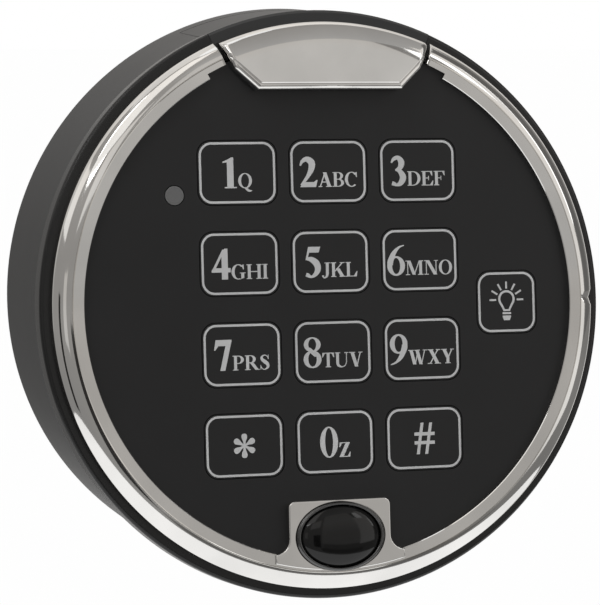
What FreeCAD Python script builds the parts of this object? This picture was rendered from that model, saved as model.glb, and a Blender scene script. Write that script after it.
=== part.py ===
import FreeCAD, Part
import math
import os

# Round keypad entry unit of an electronic safe lock, for a safe door.
#
# Two frames are used, both with X to the right and Z outwards.
#   door frame: XY is the door, Y up.  The mounting face is at Z = 0.
#   face frame: XY is the front of the face plate, Y up the sloping face.
# Every shape ends in the door frame, and save() stands it up: +Z up, front to -Y.
# The origin is the centre of the mounting face.

# Driving dimensions, mm and degrees.
FACE_TILT = 6.25            # the face leans back by this angle
HEAD_ROOM = 0.743           # battery to the upper edge of the board
FACE_MARGIN = 13.15         # light key to the outside of the front cover
COVER_STEP = 0.6            # rear housing inside the cover's outline
WALL_T = 2.4                # rear housing wall
LIP_W = 2.5                 # inward lip at the back of the wall
SEAM_DEPTH = 6.5            # face to the seam between housing and cover
COVER_RIM_W = 1.8           # cover seen outside the bezel
COVER_EDGE = 0.45           # small bevel of the cover's edges
SHOULDER_W = 3.1            # bezel: rounded shoulder
FLANGE_W = 2.1              # bezel: flat flange
FLANGE_T = 1.2              # bezel flange above the face
SHOULDER_BULGE = 0.55       # shoulder arc, out from its chord
BEZEL_DROP = 1.3            # bezel outer edge below the face
BEZEL_SEAT = 2.5            # bezel seat below the face
BEZEL_WALL = 0.6            # bezel's bore inside its crease
PLATE_T = 1.5               # face plate
LEDGE_W = 4.2               # ledge of the cover under the face plate

TAB_HALF_ANGLE = 23.7       # gap in the rim for the battery drawer
RELIEF_HALF_ANGLE = 28.6    # the flange is narrower beside the gap
RELIEF_W = 1.0

KEY_W = 14.3
KEY_H = 11.1
KEY_WEB_X = 2.37            # plate between two keys of a row
KEY_WEB_Y = 4.7             # and between two rows
KEY_CORNER = 2.4
KEYS_DROP = 0.5             # key block below the middle of the face
LIGHT_KEY_W = 11.3
LIGHT_KEY_H = 11.1
LIGHT_KEY_GAP = 3.53        # light key to the right-hand column
KEY_TRAVEL = 0.4
KEY_FLANGE_W = 0.8          # key flange under the plate, each side
KEY_FLANGE_T = 0.4
PLUNGER_R = 2.2
PLUNGER_L = 0.25

SWITCH_SIDE = 5.2           # four-legged snap domes, nearly square
SWITCH_CORNER = 1.3
SWITCH_H = 0.3
BOARD_GAP = 0.6             # board's edge inside the cover
BOARD_T = 0.8
BOARD_MARGIN = 2.75         # upper edge of the board beyond the top keys
POST_R = 1.7                # board posts on the back of the face plate
POST_EDGE = 0.8             # post to the board's edge
POST_ANGLES = (21.3, 158.7, 225.0, 315.0)
CHIP_SIDE = 12.0
CHIP_T = 1.6
CHIP_X = -14.0
CHIP_Y = -22.0
BUZZER_R = 6.0
BUZZER_H = 4.5
BUZZER_PORT_R = 1.0
BUZZER_X = 16.0
BUZZER_Y = -22.0
SOCKET_W = 9.0
SOCKET_H = 6.0
SOCKET_T = 6.5
SOCKET_WALL = 0.9
SOCKET_DEPTH = 5.0
SOCKET_EDGE = 10.2          # middle of the socket to the board's edge

LED_R = 1.65
LED_GAP = 4.28              # status light, left of the top left key
LED_DROP = 3.8              # and below that key's middle

BADGE_PLATE_HALF_W = 9.4
BADGE_PLATE_L = 10.6        # plate, inwards from the flange
BADGE_PLATE_T = 1.6
BADGE_PLATE_CORNER = 1.2
BADGE_FILLET = 2.6
BADGE_INSET = 9.4           # middle of the badge to the bezel's outer edge
BADGE_HALF_W = 8.2
BADGE_HALF_H = 6.1
BADGE_RIM_W = 0.9
BADGE_RIM_H = 1.3           # rim above its seat
BADGE_BEVEL = 0.7
BADGE_SEAT = 0.8            # pocket floor above the face
BADGE_DOME_H = 2.5          # crown of the dome above its seat
BADGE_SKIRT_H = 0.6         # its edge at the oval's two ends, above its seat

NOTCH_INSET = 0.2           # apex of the index notch, inside the bezel's crease
NOTCH_HALF_W = 1.9
NOTCH_DEPTH = 1.2           # at the bezel's outer edge

BATTERY_W = 26.5            # 9 V block
BATTERY_T = 17.5
BATTERY_L = 48.5            # with its snap terminals
TERMINAL_H = 2.1
TERMINAL_R = 2.9
TERMINAL_PITCH = 12.7
BATTERY_CORNER = 2.0

MOUNT_T = 2.4
MOUNT_PITCH = 41.3          # two screw holes, centre to centre
MOUNT_HOLE_R = 2.3
MOUNT_SINK_R = 3.8          # countersink at the plate's front
CABLE_R = 6.0
CABLE_GAP = 1.3             # cable hole to the drawer's stop
HOOK_EDGE = 7.0             # hook to the edge of the mounting plate
HOOK_W = 6.0
HOOK_T = 1.6
HOOK_NOSE = 2.5
HOOK_NOSE_T = 1.4
LUG_W = 8.0
LUG_L = 4.5
LUG_H = 7.5
LUG_EDGE = 1.5              # lug to the edge of the mounting plate
GRUB_R = 1.5
GRUB_L = 9.5
GRUB_Z = 6.4
GRUB_SUNK = 0.4
GRUB_HEX = 1.5              # across the flats
GRUB_HEX_DEPTH = 1.6

FLOOR_T = 1.3               # chassis plate inside the rear housing
RAIL_T = 1.8
RAIL_H = 6.0
RAIL_EDGE = 8.2             # upper end of the rails to the housing's outside
STOP_L = 2.4
STOP_W = 22.0
STOP_H = 9.0
SPRING_W = 3.2
SPRING_T = 0.4
SPRING_H = 7.0
SPRING_PITCH = 12.7

BOSS_R = 3.6                # four screw bosses on the chassis
BOSS_ANGLES = (40.0, 140.0, 220.0, 320.0)
SCREW_R = 1.3
SCREW_HEAD_R = 2.4
SCREW_HEAD_H = 1.8
SCREW_SINK = 6.1            # underside of the screw heads, into the bosses
SCREW_BITE = 3.0            # screw length inside the cover

DRAWER_FLOOR_T = 0.9
DRAWER_WALL_T = 1.3
DRAWER_WALL_H = 9.5
DRAWER_BACK_T = 1.4
DRAWER_FRONT_T = 2.6        # front of the drawer, beside the battery
DRAWER_END_T = 4.8          # and over the battery's end
CONTACT_R = 2.3
CONTACT_T = 0.5

TAB_L = 12.6                # pull tab, from the bezel's edge to its straight lip
TAB_SIDE_L = 8.9            # from the bezel's edge to where its sides turn in
TAB_SIDE_INSET = 0.84       # that corner, inside the gap in the rim
TAB_SLANT_W = 4.0           # width of the slanted side
TAB_MIDDLE_L = 5.5          # from the bezel's edge to the middle of its top
TAB_LIP_Z = 3.4             # tab above the face, at its lip
TAB_MIDDLE_Z = 2.3
TAB_EDGE_Z = 1.5            # tab above the face, over the bezel's crease
TAB_LIP_W = 0.6             # level strip along the lip

# Named clearances.
FIT_GAP = 0.3               # between pieces with curved or sliding faces
KEY_GAP = 0.15              # key to plate, each side
RUN_GAP = 0.05              # key flange below the plate, screw in its hole
CELL_GAP = 0.3              # battery in its drawer, each side
CELL_REST = 0.1             # battery above the drawer's floor
REACH = 80.0                # longer than the unit in every direction

# Worked out from the above.
TILT = math.radians(FACE_TILT)
TAB_TURN = math.radians(TAB_HALF_ANGLE)
KEY_PITCH_X = KEY_W + KEY_WEB_X
KEY_PITCH_Y = KEY_H + KEY_WEB_Y
LIGHT_KEY_X = KEY_PITCH_X + KEY_W / 2 + LIGHT_KEY_GAP + LIGHT_KEY_W / 2
COVER_R = LIGHT_KEY_X + LIGHT_KEY_W / 2 + FACE_MARGIN
BASE_R = COVER_R - COVER_STEP
BEZEL_R = COVER_R - COVER_RIM_W
SHOULDER_R = BEZEL_R - SHOULDER_W
FLANGE_R = SHOULDER_R - FLANGE_W
BEZEL_BORE_R = SHOULDER_R - BEZEL_WALL
PLATE_R = BEZEL_BORE_R - FIT_GAP
LEDGE_R = PLATE_R - LEDGE_W
CHASSIS_R = BASE_R - WALL_T - FIT_GAP
MOUNT_R = BASE_R - WALL_T - LIP_W - FIT_GAP
HOUSING_LEAN = SEAM_DEPTH * math.sin(TILT)
BOSS_AT_R = CHASSIS_R - HOUSING_LEAN - BOSS_R
FLOOR_Z = MOUNT_T + FIT_GAP
FLOOR_TOP = FLOOR_Z + FLOOR_T
SCREW_SEAT_Z = FLOOR_Z + SCREW_SINK
LUG_Y = -MOUNT_R + LUG_EDGE
HOOK_X = MOUNT_R - HOOK_EDGE
CELL_Z = FLOOR_TOP + FIT_GAP + DRAWER_FLOOR_T + CELL_REST
POCKET_HALF_W = BATTERY_W / 2 + CELL_GAP
DRAWER_HALF_W = POCKET_HALF_W + DRAWER_WALL_T
POCKET_TOP_Y = BASE_R - DRAWER_END_T
CELL_TOP_Y = POCKET_TOP_Y - CELL_GAP
CELL_BOTTOM_Y = CELL_TOP_Y - BATTERY_L
POCKET_BOTTOM_Y = CELL_BOTTOM_Y - CELL_GAP
DRAWER_BOTTOM_Y = POCKET_BOTTOM_Y - CONTACT_T - DRAWER_BACK_T
STOP_Y = DRAWER_BOTTOM_Y - FIT_GAP - SPRING_T
RAIL_TOP_Y = BASE_R - RAIL_EDGE
CABLE_Y = STOP_Y - STOP_L - CABLE_GAP - CABLE_R
KEY_SEAT = -PLATE_T - RUN_GAP
PLUNGER_END = KEY_SEAT - KEY_FLANGE_T - PLUNGER_L
SWITCH_TOP = PLUNGER_END - KEY_TRAVEL - RUN_GAP
BOARD_FRONT = SWITCH_TOP - SWITCH_H
BOARD_BACK = BOARD_FRONT - BOARD_T
BOARD_R = LEDGE_R - BOARD_GAP
POST_AT_R = BOARD_R - POST_EDGE - POST_R
SOCKET_Y = SOCKET_EDGE - BOARD_R
TOP_ROW_Y = 1.5 * KEY_PITCH_Y - KEYS_DROP
BOARD_TOP_Y = TOP_ROW_Y + KEY_H / 2 + BOARD_MARGIN
FACE_HEIGHT = (CELL_Z + BATTERY_T + HEAD_ROOM + BOARD_TOP_Y * math.sin(TILT)
               - BOARD_BACK * math.cos(TILT))
LED_X = -KEY_PITCH_X - KEY_W / 2 - LED_GAP
LED_Y = TOP_ROW_Y - LED_DROP
BADGE_Y = BADGE_INSET - BEZEL_R
BADGE_PLATE_TOP_Y = BADGE_PLATE_L - FLANGE_R
NOTCH_APEX_R = SHOULDER_R - NOTCH_INSET
TAB_R = BEZEL_R - FIT_GAP
TAB_LIP_Y = BEZEL_R - TAB_L
TAB_MIDDLE_R = BEZEL_R - TAB_MIDDLE_L
TAB_SIDE_Y = BEZEL_R - TAB_SIDE_L
TAB_SIDE_X = TAB_SIDE_Y * math.tan(TAB_TURN) - TAB_SIDE_INSET
TAB_LIP_HALF_W = TAB_SIDE_X - TAB_SLANT_W

FACE_TO_DOOR = FreeCAD.Placement(
    FreeCAD.Vector(0, 0, FACE_HEIGHT),
    FreeCAD.Rotation(FreeCAD.Vector(1, 0, 0), -FACE_TILT))
DOOR_TO_WORLD = FreeCAD.Placement(
    FreeCAD.Vector(0, 0, 0),
    FreeCAD.Rotation(FreeCAD.Vector(1, 0, 0), 90))

KEYS = {
    "key_1": (-1, 0), "key_2": (0, 0), "key_3": (1, 0),
    "key_4": (-1, 1), "key_5": (0, 1), "key_6": (1, 1),
    "key_7": (-1, 2), "key_8": (0, 2), "key_9": (1, 2),
    "key_star": (-1, 3), "key_0": (0, 3), "key_hash": (1, 3),
}


def moved(shape, placement):
    result = shape.copy()
    result.Placement = placement.multiply(result.Placement)
    return result


def tilted(shape):
    """A shape of the face frame, in the door frame."""
    return moved(shape, FACE_TO_DOOR)


def save(name, shape):
    standing = moved(shape.removeSplitter(), DOOR_TO_WORLD)
    standing.exportStep("parts/" + name + ".step")


def disc(radius, bottom, top, x=0.0, y=0.0):
    return Part.makeCylinder(radius, top - bottom, FreeCAD.Vector(x, y, bottom))


def block(x0, x1, y0, y1, z0, z1):
    return Part.makeBox(x1 - x0, y1 - y0, z1 - z0, FreeCAD.Vector(x0, y0, z0))


def outline(points, bottom, top):
    """A prism on a closed polygon of (x, y) points."""
    corners = [FreeCAD.Vector(x, y, bottom) for x, y in points]
    face = Part.Face(Part.makePolygon(corners + corners[:1]))
    return face.extrude(FreeCAD.Vector(0, 0, top - bottom))


def rounded(width, height, corner, bottom, top, x=0.0, y=0.0):
    """A block with rounded upright edges, centred on (x, y)."""
    body = block(x - width / 2, x + width / 2, y - height / 2, y + height / 2, bottom, top)
    upright = [e for e in body.Edges if abs(e.tangentAt(e.FirstParameter).z) > 0.99]
    return body.makeFillet(corner, upright)


def clipped_square(side, corner, bottom, top, x, y):
    """A square block with its upright edges cut at 45 degrees."""
    a = side / 2
    b = a - corner
    points = [(a, -b), (a, b), (b, a), (-b, a), (-a, b), (-a, -b), (-b, -a), (b, -a)]
    return outline([(x + u, y + v) for u, v in points], bottom, top)


def turned(points):
    """A solid of revolution about Z on a closed profile of (radius, z) points."""
    corners = [FreeCAD.Vector(r, 0, z) for r, z in points]
    face = Part.Face(Part.makePolygon(corners + corners[:1]))
    return face.revolve(FreeCAD.Vector(0, 0, 0), FreeCAD.Vector(0, 0, 1), 360)


def sector(half_angle, inset, bottom, top):
    """A wedge about the upper half of the Y axis, its sides moved in by inset."""
    angle = math.radians(half_angle)
    apex_y = inset / math.sin(angle)
    far_x = REACH * math.sin(angle)
    far_y = apex_y + REACH * math.cos(angle)
    return outline([(0, apex_y), (far_x, far_y), (-far_x, far_y)], bottom, top)


def oval(half_w, half_h, z, y=0.0):
    curve = Part.Ellipse(FreeCAD.Vector(0, y, z), half_w, half_h)
    return Part.Wire(curve.toShape())


def oval_disc(half_w, half_h, bottom, top, y=0.0):
    face = Part.Face(oval(half_w, half_h, bottom, y))
    return face.extrude(FreeCAD.Vector(0, 0, top - bottom))


def key_centre(column, row):
    return column * KEY_PITCH_X, TOP_ROW_Y - row * KEY_PITCH_Y


def key_sites():
    """Name, centre and size of every key."""
    sites = [(name, key_centre(*place), KEY_W, KEY_H) for name, place in KEYS.items()]
    light = (LIGHT_KEY_X, -KEYS_DROP)
    return sites + [("key_light", light, LIGHT_KEY_W, LIGHT_KEY_H)]


def seam_z(y):
    """Height of the seam plane above the door, at a height y on the door."""
    return FACE_HEIGHT - SEAM_DEPTH / math.cos(TILT) - y * math.tan(TILT)


def around(radius, angles):
    """Centres on a circle, one at each angle."""
    turns = [math.radians(angle) for angle in angles]
    return [(radius * math.cos(turn), radius * math.sin(turn)) for turn in turns]


def boss_centres():
    return around(BOSS_AT_R, BOSS_ANGLES)


def wedge_skin(radius):
    """The sloping housing: a round foot on the door, a round top on the seam plane."""
    foot = Part.Wire(Part.makeCircle(radius))
    top = Part.Wire(Part.makeCircle(radius, FreeCAD.Vector(0, 0, -SEAM_DEPTH)))
    return Part.makeLoft([foot, tilted(top)], True, True)


def mounting_base():
    plate = disc(MOUNT_R, 0, MOUNT_T)
    hook_top = FLOOR_TOP + FIT_GAP + HOOK_NOSE_T
    for side in (-1, 1):
        x0 = side * HOOK_X - HOOK_T / 2
        stem = block(x0, x0 + HOOK_T, -HOOK_W / 2, HOOK_W / 2, 0, hook_top)
        nose = block(x0, x0 + HOOK_T, HOOK_W / 2, HOOK_W / 2 + HOOK_NOSE,
                     hook_top - HOOK_NOSE_T, hook_top)
        plate = plate.fuse([stem, nose])
    plate = plate.fuse(block(-LUG_W / 2, LUG_W / 2, LUG_Y, LUG_Y + LUG_L, 0, MOUNT_T + LUG_H))
    plate = plate.cut(disc(CABLE_R, 0, MOUNT_T, 0, CABLE_Y))
    for side in (-1, 1):
        x = side * MOUNT_PITCH / 2
        sink_depth = MOUNT_SINK_R - MOUNT_HOLE_R
        sink = Part.makeCone(MOUNT_HOLE_R, MOUNT_SINK_R, sink_depth,
                             FreeCAD.Vector(x, 0, MOUNT_T - sink_depth))
        plate = plate.cut([disc(MOUNT_HOLE_R, 0, MOUNT_T, x, 0), sink])
    return plate.cut(grub_hole(RUN_GAP))


def grub_hole(clearance):
    """Round hole for the retaining screw, from the lug outwards."""
    inner_end = FreeCAD.Vector(0, LUG_Y + LUG_L, GRUB_Z)
    return Part.makeCylinder(GRUB_R + clearance, REACH, inner_end, FreeCAD.Vector(0, -1, 0))


def retaining_screw():
    """Socket grub screw through the lower wall into the mounting plate's lug."""
    start_y = -BASE_R + GRUB_SUNK
    axis = FreeCAD.Vector(0, 1, 0)
    body = Part.makeCylinder(GRUB_R, GRUB_L, FreeCAD.Vector(0, start_y, GRUB_Z), axis)
    hex_r = GRUB_HEX / 2 / math.cos(math.pi / 6)
    corners = []
    for i in range(7):
        turn = math.pi / 3 * i
        corners.append(FreeCAD.Vector(hex_r * math.cos(turn), start_y, GRUB_Z + hex_r * math.sin(turn)))
    socket = Part.Face(Part.makePolygon(corners)).extrude(FreeCAD.Vector(0, GRUB_HEX_DEPTH, 0))
    return body.cut(socket)


def rear_housing():
    """The sloping wall, with a lip at its back and a gap at its top for the drawer."""
    inner = wedge_skin(BASE_R - WALL_T)
    bore = inner.cut(disc(REACH, 0, FLOOR_Z))
    opening = disc(MOUNT_R + FIT_GAP, 0, FLOOR_Z)
    gap = sector(TAB_HALF_ANGLE, 0, FLOOR_TOP, REACH).cut(disc(BASE_R - 2 * WALL_T, 0, REACH))
    return wedge_skin(BASE_R).cut([bore, opening, gap, grub_hole(FIT_GAP)])


def chassis():
    """Round plate on the housing's lip, with screw bosses, drawer rails and the drawer's stop."""
    rail_x = DRAWER_HALF_W + FIT_GAP
    rail_top = FLOOR_TOP + RAIL_H
    start_y = STOP_Y - STOP_L
    adds = [tube(x, y) for x, y in boss_centres()]
    adds.append(block(-rail_x - RAIL_T, -rail_x, start_y, RAIL_TOP_Y, FLOOR_Z, rail_top))
    adds.append(block(rail_x, rail_x + RAIL_T, start_y, RAIL_TOP_Y, FLOOR_Z, rail_top))
    adds.append(block(-STOP_W / 2, STOP_W / 2, start_y, STOP_Y, FLOOR_Z, FLOOR_TOP + STOP_H))
    plate = disc(CHASSIS_R, FLOOR_Z, FLOOR_TOP).fuse(adds)

    cuts = [disc(CABLE_R, FLOOR_Z, FLOOR_TOP, 0, CABLE_Y)]
    for x, y in boss_centres():
        cuts.append(disc(SCREW_HEAD_R + FIT_GAP, FLOOR_Z, SCREW_SEAT_Z, x, y))
        cuts.append(disc(SCREW_R + FIT_GAP, FLOOR_Z, REACH, x, y))
    for side in (-1, 1):
        x0 = side * HOOK_X - HOOK_T / 2 - FIT_GAP
        cuts.append(block(x0, x0 + HOOK_T + 2 * FIT_GAP, -HOOK_W / 2 - FIT_GAP,
                          HOOK_W / 2 + FIT_GAP, FLOOR_Z, FLOOR_TOP))
    cuts.append(block(-LUG_W / 2 - FIT_GAP, LUG_W / 2 + FIT_GAP, LUG_Y - FIT_GAP,
                      LUG_Y + LUG_L + FIT_GAP, FLOOR_Z, FLOOR_TOP))
    return plate.cut(cuts)


def tube(x, y):
    """A screw boss that ends on the seam plane, under the front cover."""
    boss = disc(BOSS_R, FLOOR_Z, REACH, x, y)
    return boss.cut(tilted(disc(REACH, -SEAM_DEPTH, REACH)))


def cover_ring():
    """Front cover before the gap for the drawer is cut: door frame."""
    e = COVER_EDGE
    return tilted(turned([
        (LEDGE_R, -SEAM_DEPTH), (COVER_R - e, -SEAM_DEPTH), (COVER_R, -SEAM_DEPTH + e),
        (COVER_R, -BEZEL_SEAT - e), (COVER_R - e, -BEZEL_SEAT), (BEZEL_BORE_R, -BEZEL_SEAT),
        (BEZEL_BORE_R, -PLATE_T), (LEDGE_R, -PLATE_T)]))


def front_cover():
    ring = cover_ring().cut(tilted(sector(TAB_HALF_ANGLE, 0, -REACH, REACH)))
    pilots = []
    for x, y in boss_centres():
        start = seam_z(y) - 2 * SCREW_R
        pilots.append(disc(SCREW_R + RUN_GAP, start, seam_z(y) + SCREW_BITE + FIT_GAP, x, y))
    return ring.cut(pilots)


def housing_screws():
    screws = []
    for x, y in boss_centres():
        head = disc(SCREW_HEAD_R, SCREW_SEAT_Z - SCREW_HEAD_H, SCREW_SEAT_Z, x, y)
        shank = disc(SCREW_R, SCREW_SEAT_Z, seam_z(y) + SCREW_BITE, x, y)
        screws.append(head.fuse(shank))
    return Part.makeCompound(screws)


def bezel_ring():
    """Bezel section: a flat flange, a crease, and a rounded shoulder."""
    crease = FreeCAD.Vector(SHOULDER_R, 0, FLANGE_T)
    edge = FreeCAD.Vector(BEZEL_R, 0, -BEZEL_DROP)
    chord = edge - crease
    out = FreeCAD.Vector(-chord.z, 0, chord.x)
    out.normalize()
    middle = (crease + edge) * 0.5 + out * SHOULDER_BULGE
    shoulder = Part.Arc(crease, middle, edge).toShape()
    rest = [edge, FreeCAD.Vector(BEZEL_R, 0, -BEZEL_SEAT), FreeCAD.Vector(BEZEL_BORE_R, 0, -BEZEL_SEAT),
            FreeCAD.Vector(BEZEL_BORE_R, 0, 0), FreeCAD.Vector(FLANGE_R, 0, 0),
            FreeCAD.Vector(FLANGE_R, 0, FLANGE_T), crease]
    wire = Part.Wire([shoulder] + Part.makePolygon(rest).Edges)
    return Part.Face(wire).revolve(FreeCAD.Vector(0, 0, 0), FreeCAD.Vector(0, 0, 1), 360)


def badge_plate():
    """Raised plate that joins the flange with two hollow fillets: face frame."""
    half_w = BADGE_PLATE_HALF_W
    top_y = BADGE_PLATE_TOP_Y
    corner = BADGE_PLATE_CORNER
    foot_y = -math.sqrt(FLANGE_R ** 2 - half_w ** 2)
    middle_r = (FLANGE_R + SHOULDER_R) / 2
    tongue = rounded(2 * half_w, 2 * middle_r, corner, 0, BADGE_PLATE_T, 0, top_y - middle_r)
    tongue = tongue.common(disc(middle_r, 0, REACH))
    foot = block(-half_w - BADGE_FILLET, half_w + BADGE_FILLET, foot_y - BADGE_FILLET / 2,
                 foot_y + BADGE_FILLET, 0, FLANGE_T)
    for side in (-1, 1):
        foot = foot.cut(disc(BADGE_FILLET, -REACH, REACH, side * (half_w + BADGE_FILLET),
                             foot_y + BADGE_FILLET))
    return tongue.fuse(foot.common(disc(middle_r, 0, REACH)))


def index_notch():
    """A four-sided wedge that cuts the V notch: face frame."""
    far_x = BEZEL_R + (BEZEL_R - NOTCH_APEX_R) / 2
    grow = (far_x - NOTCH_APEX_R) / (BEZEL_R - NOTCH_APEX_R)
    top_z = FLANGE_T + FIT_GAP
    apex = FreeCAD.Vector(NOTCH_APEX_R, 0, FLANGE_T)
    floor_z = FLANGE_T - grow * (FLANGE_T + BEZEL_DROP + NOTCH_DEPTH)
    keel = FreeCAD.Vector(far_x, 0, floor_z)
    left = FreeCAD.Vector(far_x, grow * NOTCH_HALF_W, top_z)
    right = FreeCAD.Vector(far_x, -grow * NOTCH_HALF_W, top_z)
    sides = [(apex, keel, left), (apex, right, keel), (apex, left, right), (keel, right, left)]
    faces = [Part.Face(Part.makePolygon([a, b, c, a])) for a, b, c in sides]
    return Part.Solid(Part.Shell(faces))


def chrome_bezel():
    ring = bezel_ring().fuse(badge_plate())
    relief = sector(RELIEF_HALF_ANGLE, 0, 0, REACH).common(disc(FLANGE_R + RELIEF_W, 0, REACH))
    pocket = oval_disc(BADGE_HALF_W + FIT_GAP, BADGE_HALF_H + FIT_GAP, BADGE_SEAT, REACH, BADGE_Y)
    gap = sector(TAB_HALF_ANGLE, 0, -REACH, REACH)
    return tilted(ring.cut([gap, relief, pocket, index_notch()]))


def badge_rim():
    base = oval_disc(BADGE_HALF_W, BADGE_HALF_H, BADGE_SEAT,
                     BADGE_SEAT + BADGE_RIM_H - BADGE_BEVEL, BADGE_Y)
    low = oval(BADGE_HALF_W, BADGE_HALF_H, BADGE_SEAT + BADGE_RIM_H - BADGE_BEVEL, BADGE_Y)
    high = oval(BADGE_HALF_W - BADGE_BEVEL, BADGE_HALF_H - BADGE_BEVEL,
                BADGE_SEAT + BADGE_RIM_H, BADGE_Y)
    rim = base.fuse(Part.makeLoft([low, high], True, True))
    hole = oval_disc(BADGE_HALF_W - BADGE_RIM_W, BADGE_HALF_H - BADGE_RIM_W,
                     BADGE_SEAT, REACH, BADGE_Y)
    return tilted(rim.cut(hole))


def badge_dome():
    """Oval glass-like cap: the crown of a ball, trimmed to the oval inside the rim."""
    half_w = BADGE_HALF_W - BADGE_RIM_W
    half_h = BADGE_HALF_H - BADGE_RIM_W
    drop = BADGE_DOME_H - BADGE_SKIRT_H
    ball_r = (half_w ** 2 + drop ** 2) / (2 * drop)
    crown_z = BADGE_SEAT + BADGE_DOME_H
    ball = Part.makeSphere(ball_r, FreeCAD.Vector(0, BADGE_Y, crown_z - ball_r))
    return tilted(oval_disc(half_w, half_h, BADGE_SEAT, crown_z, BADGE_Y).common(ball))


def face_plate():
    plate = disc(PLATE_R, -PLATE_T, 0)
    posts = around(POST_AT_R, POST_ANGLES)
    plate = plate.fuse([disc(POST_R, BOARD_FRONT, -PLATE_T, x, y) for x, y in posts])
    cuts = [disc(LED_R + KEY_GAP, -PLATE_T, 0, LED_X, LED_Y)]
    for name, (x, y), width, height in key_sites():
        cuts.append(rounded(width + 2 * KEY_GAP, height + 2 * KEY_GAP, KEY_CORNER + KEY_GAP,
                            -PLATE_T, 0, x, y))
    return tilted(plate.cut(cuts))


def key_cap(x, y, width, height):
    cap = rounded(width, height, KEY_CORNER, KEY_SEAT, 0, x, y)
    half_w = width / 2 + KEY_FLANGE_W
    half_h = height / 2 + KEY_FLANGE_W
    flange = block(x - half_w, x + half_w, y - half_h, y + half_h, KEY_SEAT - KEY_FLANGE_T, KEY_SEAT)
    plunger = disc(PLUNGER_R, PLUNGER_END, KEY_SEAT, x, y)
    return tilted(cap.fuse([flange, plunger]))


def switch_domes():
    domes = []
    for name, (x, y), width, height in key_sites():
        domes.append(clipped_square(SWITCH_SIDE, SWITCH_CORNER, BOARD_FRONT, SWITCH_TOP, x, y))
    return tilted(Part.makeCompound(domes))


def circuit_board():
    board = disc(BOARD_R, BOARD_BACK, BOARD_FRONT)
    return tilted(board.cut(block(-REACH, REACH, BOARD_TOP_Y, REACH, -REACH, REACH)))


def indicator_led():
    return tilted(disc(LED_R, BOARD_FRONT, 0, LED_X, LED_Y))


def controller_chip():
    half = CHIP_SIDE / 2
    return tilted(block(CHIP_X - half, CHIP_X + half, CHIP_Y - half, CHIP_Y + half,
                        BOARD_BACK - CHIP_T, BOARD_BACK))


def buzzer():
    back = BOARD_BACK - BUZZER_H
    can = disc(BUZZER_R, back, BOARD_BACK, BUZZER_X, BUZZER_Y)
    return tilted(can.cut(disc(BUZZER_PORT_R, back, back + BUZZER_H / 2, BUZZER_X, BUZZER_Y)))


def cable_socket():
    """Open-ended socket on the board's back, for the lock's cable plug."""
    half_w = SOCKET_W / 2
    half_h = SOCKET_H / 2
    back = BOARD_BACK - SOCKET_T
    body = block(-half_w, half_w, SOCKET_Y - half_h, SOCKET_Y + half_h, back, BOARD_BACK)
    in_w = half_w - SOCKET_WALL
    in_h = half_h - SOCKET_WALL
    return tilted(body.cut(block(-in_w, in_w, SOCKET_Y - in_h, SOCKET_Y + in_h,
                                 back, back + SOCKET_DEPTH)))


def contact_springs():
    springs = []
    for side in (-1, 1):
        x = side * SPRING_PITCH / 2
        springs.append(block(x - SPRING_W / 2, x + SPRING_W / 2, STOP_Y, STOP_Y + SPRING_T,
                             FLOOR_TOP + FIT_GAP, FLOOR_TOP + FIT_GAP + SPRING_H))
    return Part.makeCompound(springs)


def cell_pocket():
    """The room that the battery takes in the drawer, open to the front."""
    return block(-POCKET_HALF_W, POCKET_HALF_W, POCKET_BOTTOM_Y, POCKET_TOP_Y,
                 CELL_Z - CELL_REST, REACH)


def battery_drawer():
    bottom = FLOOR_TOP + FIT_GAP
    wedge = sector(TAB_HALF_ANGLE, FIT_GAP, bottom, REACH)
    wall = wedge_skin(BASE_R).common(wedge)
    rim = wall.cut(disc(BASE_R - DRAWER_FRONT_T, 0, REACH))
    thick = wall.common(block(-DRAWER_HALF_W, DRAWER_HALF_W, POCKET_TOP_Y, REACH, 0, REACH))
    band = cover_ring().common(tilted(sector(TAB_HALF_ANGLE, FIT_GAP, -REACH, REACH)))
    band = band.cut(tilted(disc(BEZEL_BORE_R, -REACH, REACH)))
    back_y = DRAWER_BOTTOM_Y
    tray = block(-DRAWER_HALF_W, DRAWER_HALF_W, back_y, POCKET_TOP_Y, bottom, bottom + DRAWER_WALL_H)
    drawer = tray.fuse([rim, thick, band])
    back_face_y = POCKET_BOTTOM_Y - CONTACT_T
    seat = block(-POCKET_HALF_W, POCKET_HALF_W, back_face_y, POCKET_BOTTOM_Y,
                 CELL_Z - CELL_REST, REACH)
    return drawer.cut([cell_pocket(), seat])


def battery_contacts():
    """Two snap discs on the inside of the drawer's back wall."""
    start_y = POCKET_BOTTOM_Y - CONTACT_T
    discs = []
    for side in (-1, 1):
        centre = FreeCAD.Vector(side * TERMINAL_PITCH / 2, start_y, CELL_Z + CONTACT_R + CELL_REST)
        discs.append(Part.makeCylinder(CONTACT_R, CONTACT_T, centre, FreeCAD.Vector(0, 1, 0)))
    return Part.makeCompound(discs)


def battery():
    body_bottom = CELL_BOTTOM_Y + TERMINAL_H
    body = block(-BATTERY_W / 2, BATTERY_W / 2, body_bottom, CELL_TOP_Y, CELL_Z, CELL_Z + BATTERY_T)
    long_edges = [e for e in body.Edges if abs(e.tangentAt(e.FirstParameter).y) > 0.99]
    body = body.makeFillet(BATTERY_CORNER, long_edges)
    for side in (-1, 1):
        foot = FreeCAD.Vector(side * TERMINAL_PITCH / 2, body_bottom, CELL_Z + BATTERY_T / 2)
        body = body.fuse(Part.makeCylinder(TERMINAL_R, TERMINAL_H, foot, FreeCAD.Vector(0, -1, 0)))
    return body


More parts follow.
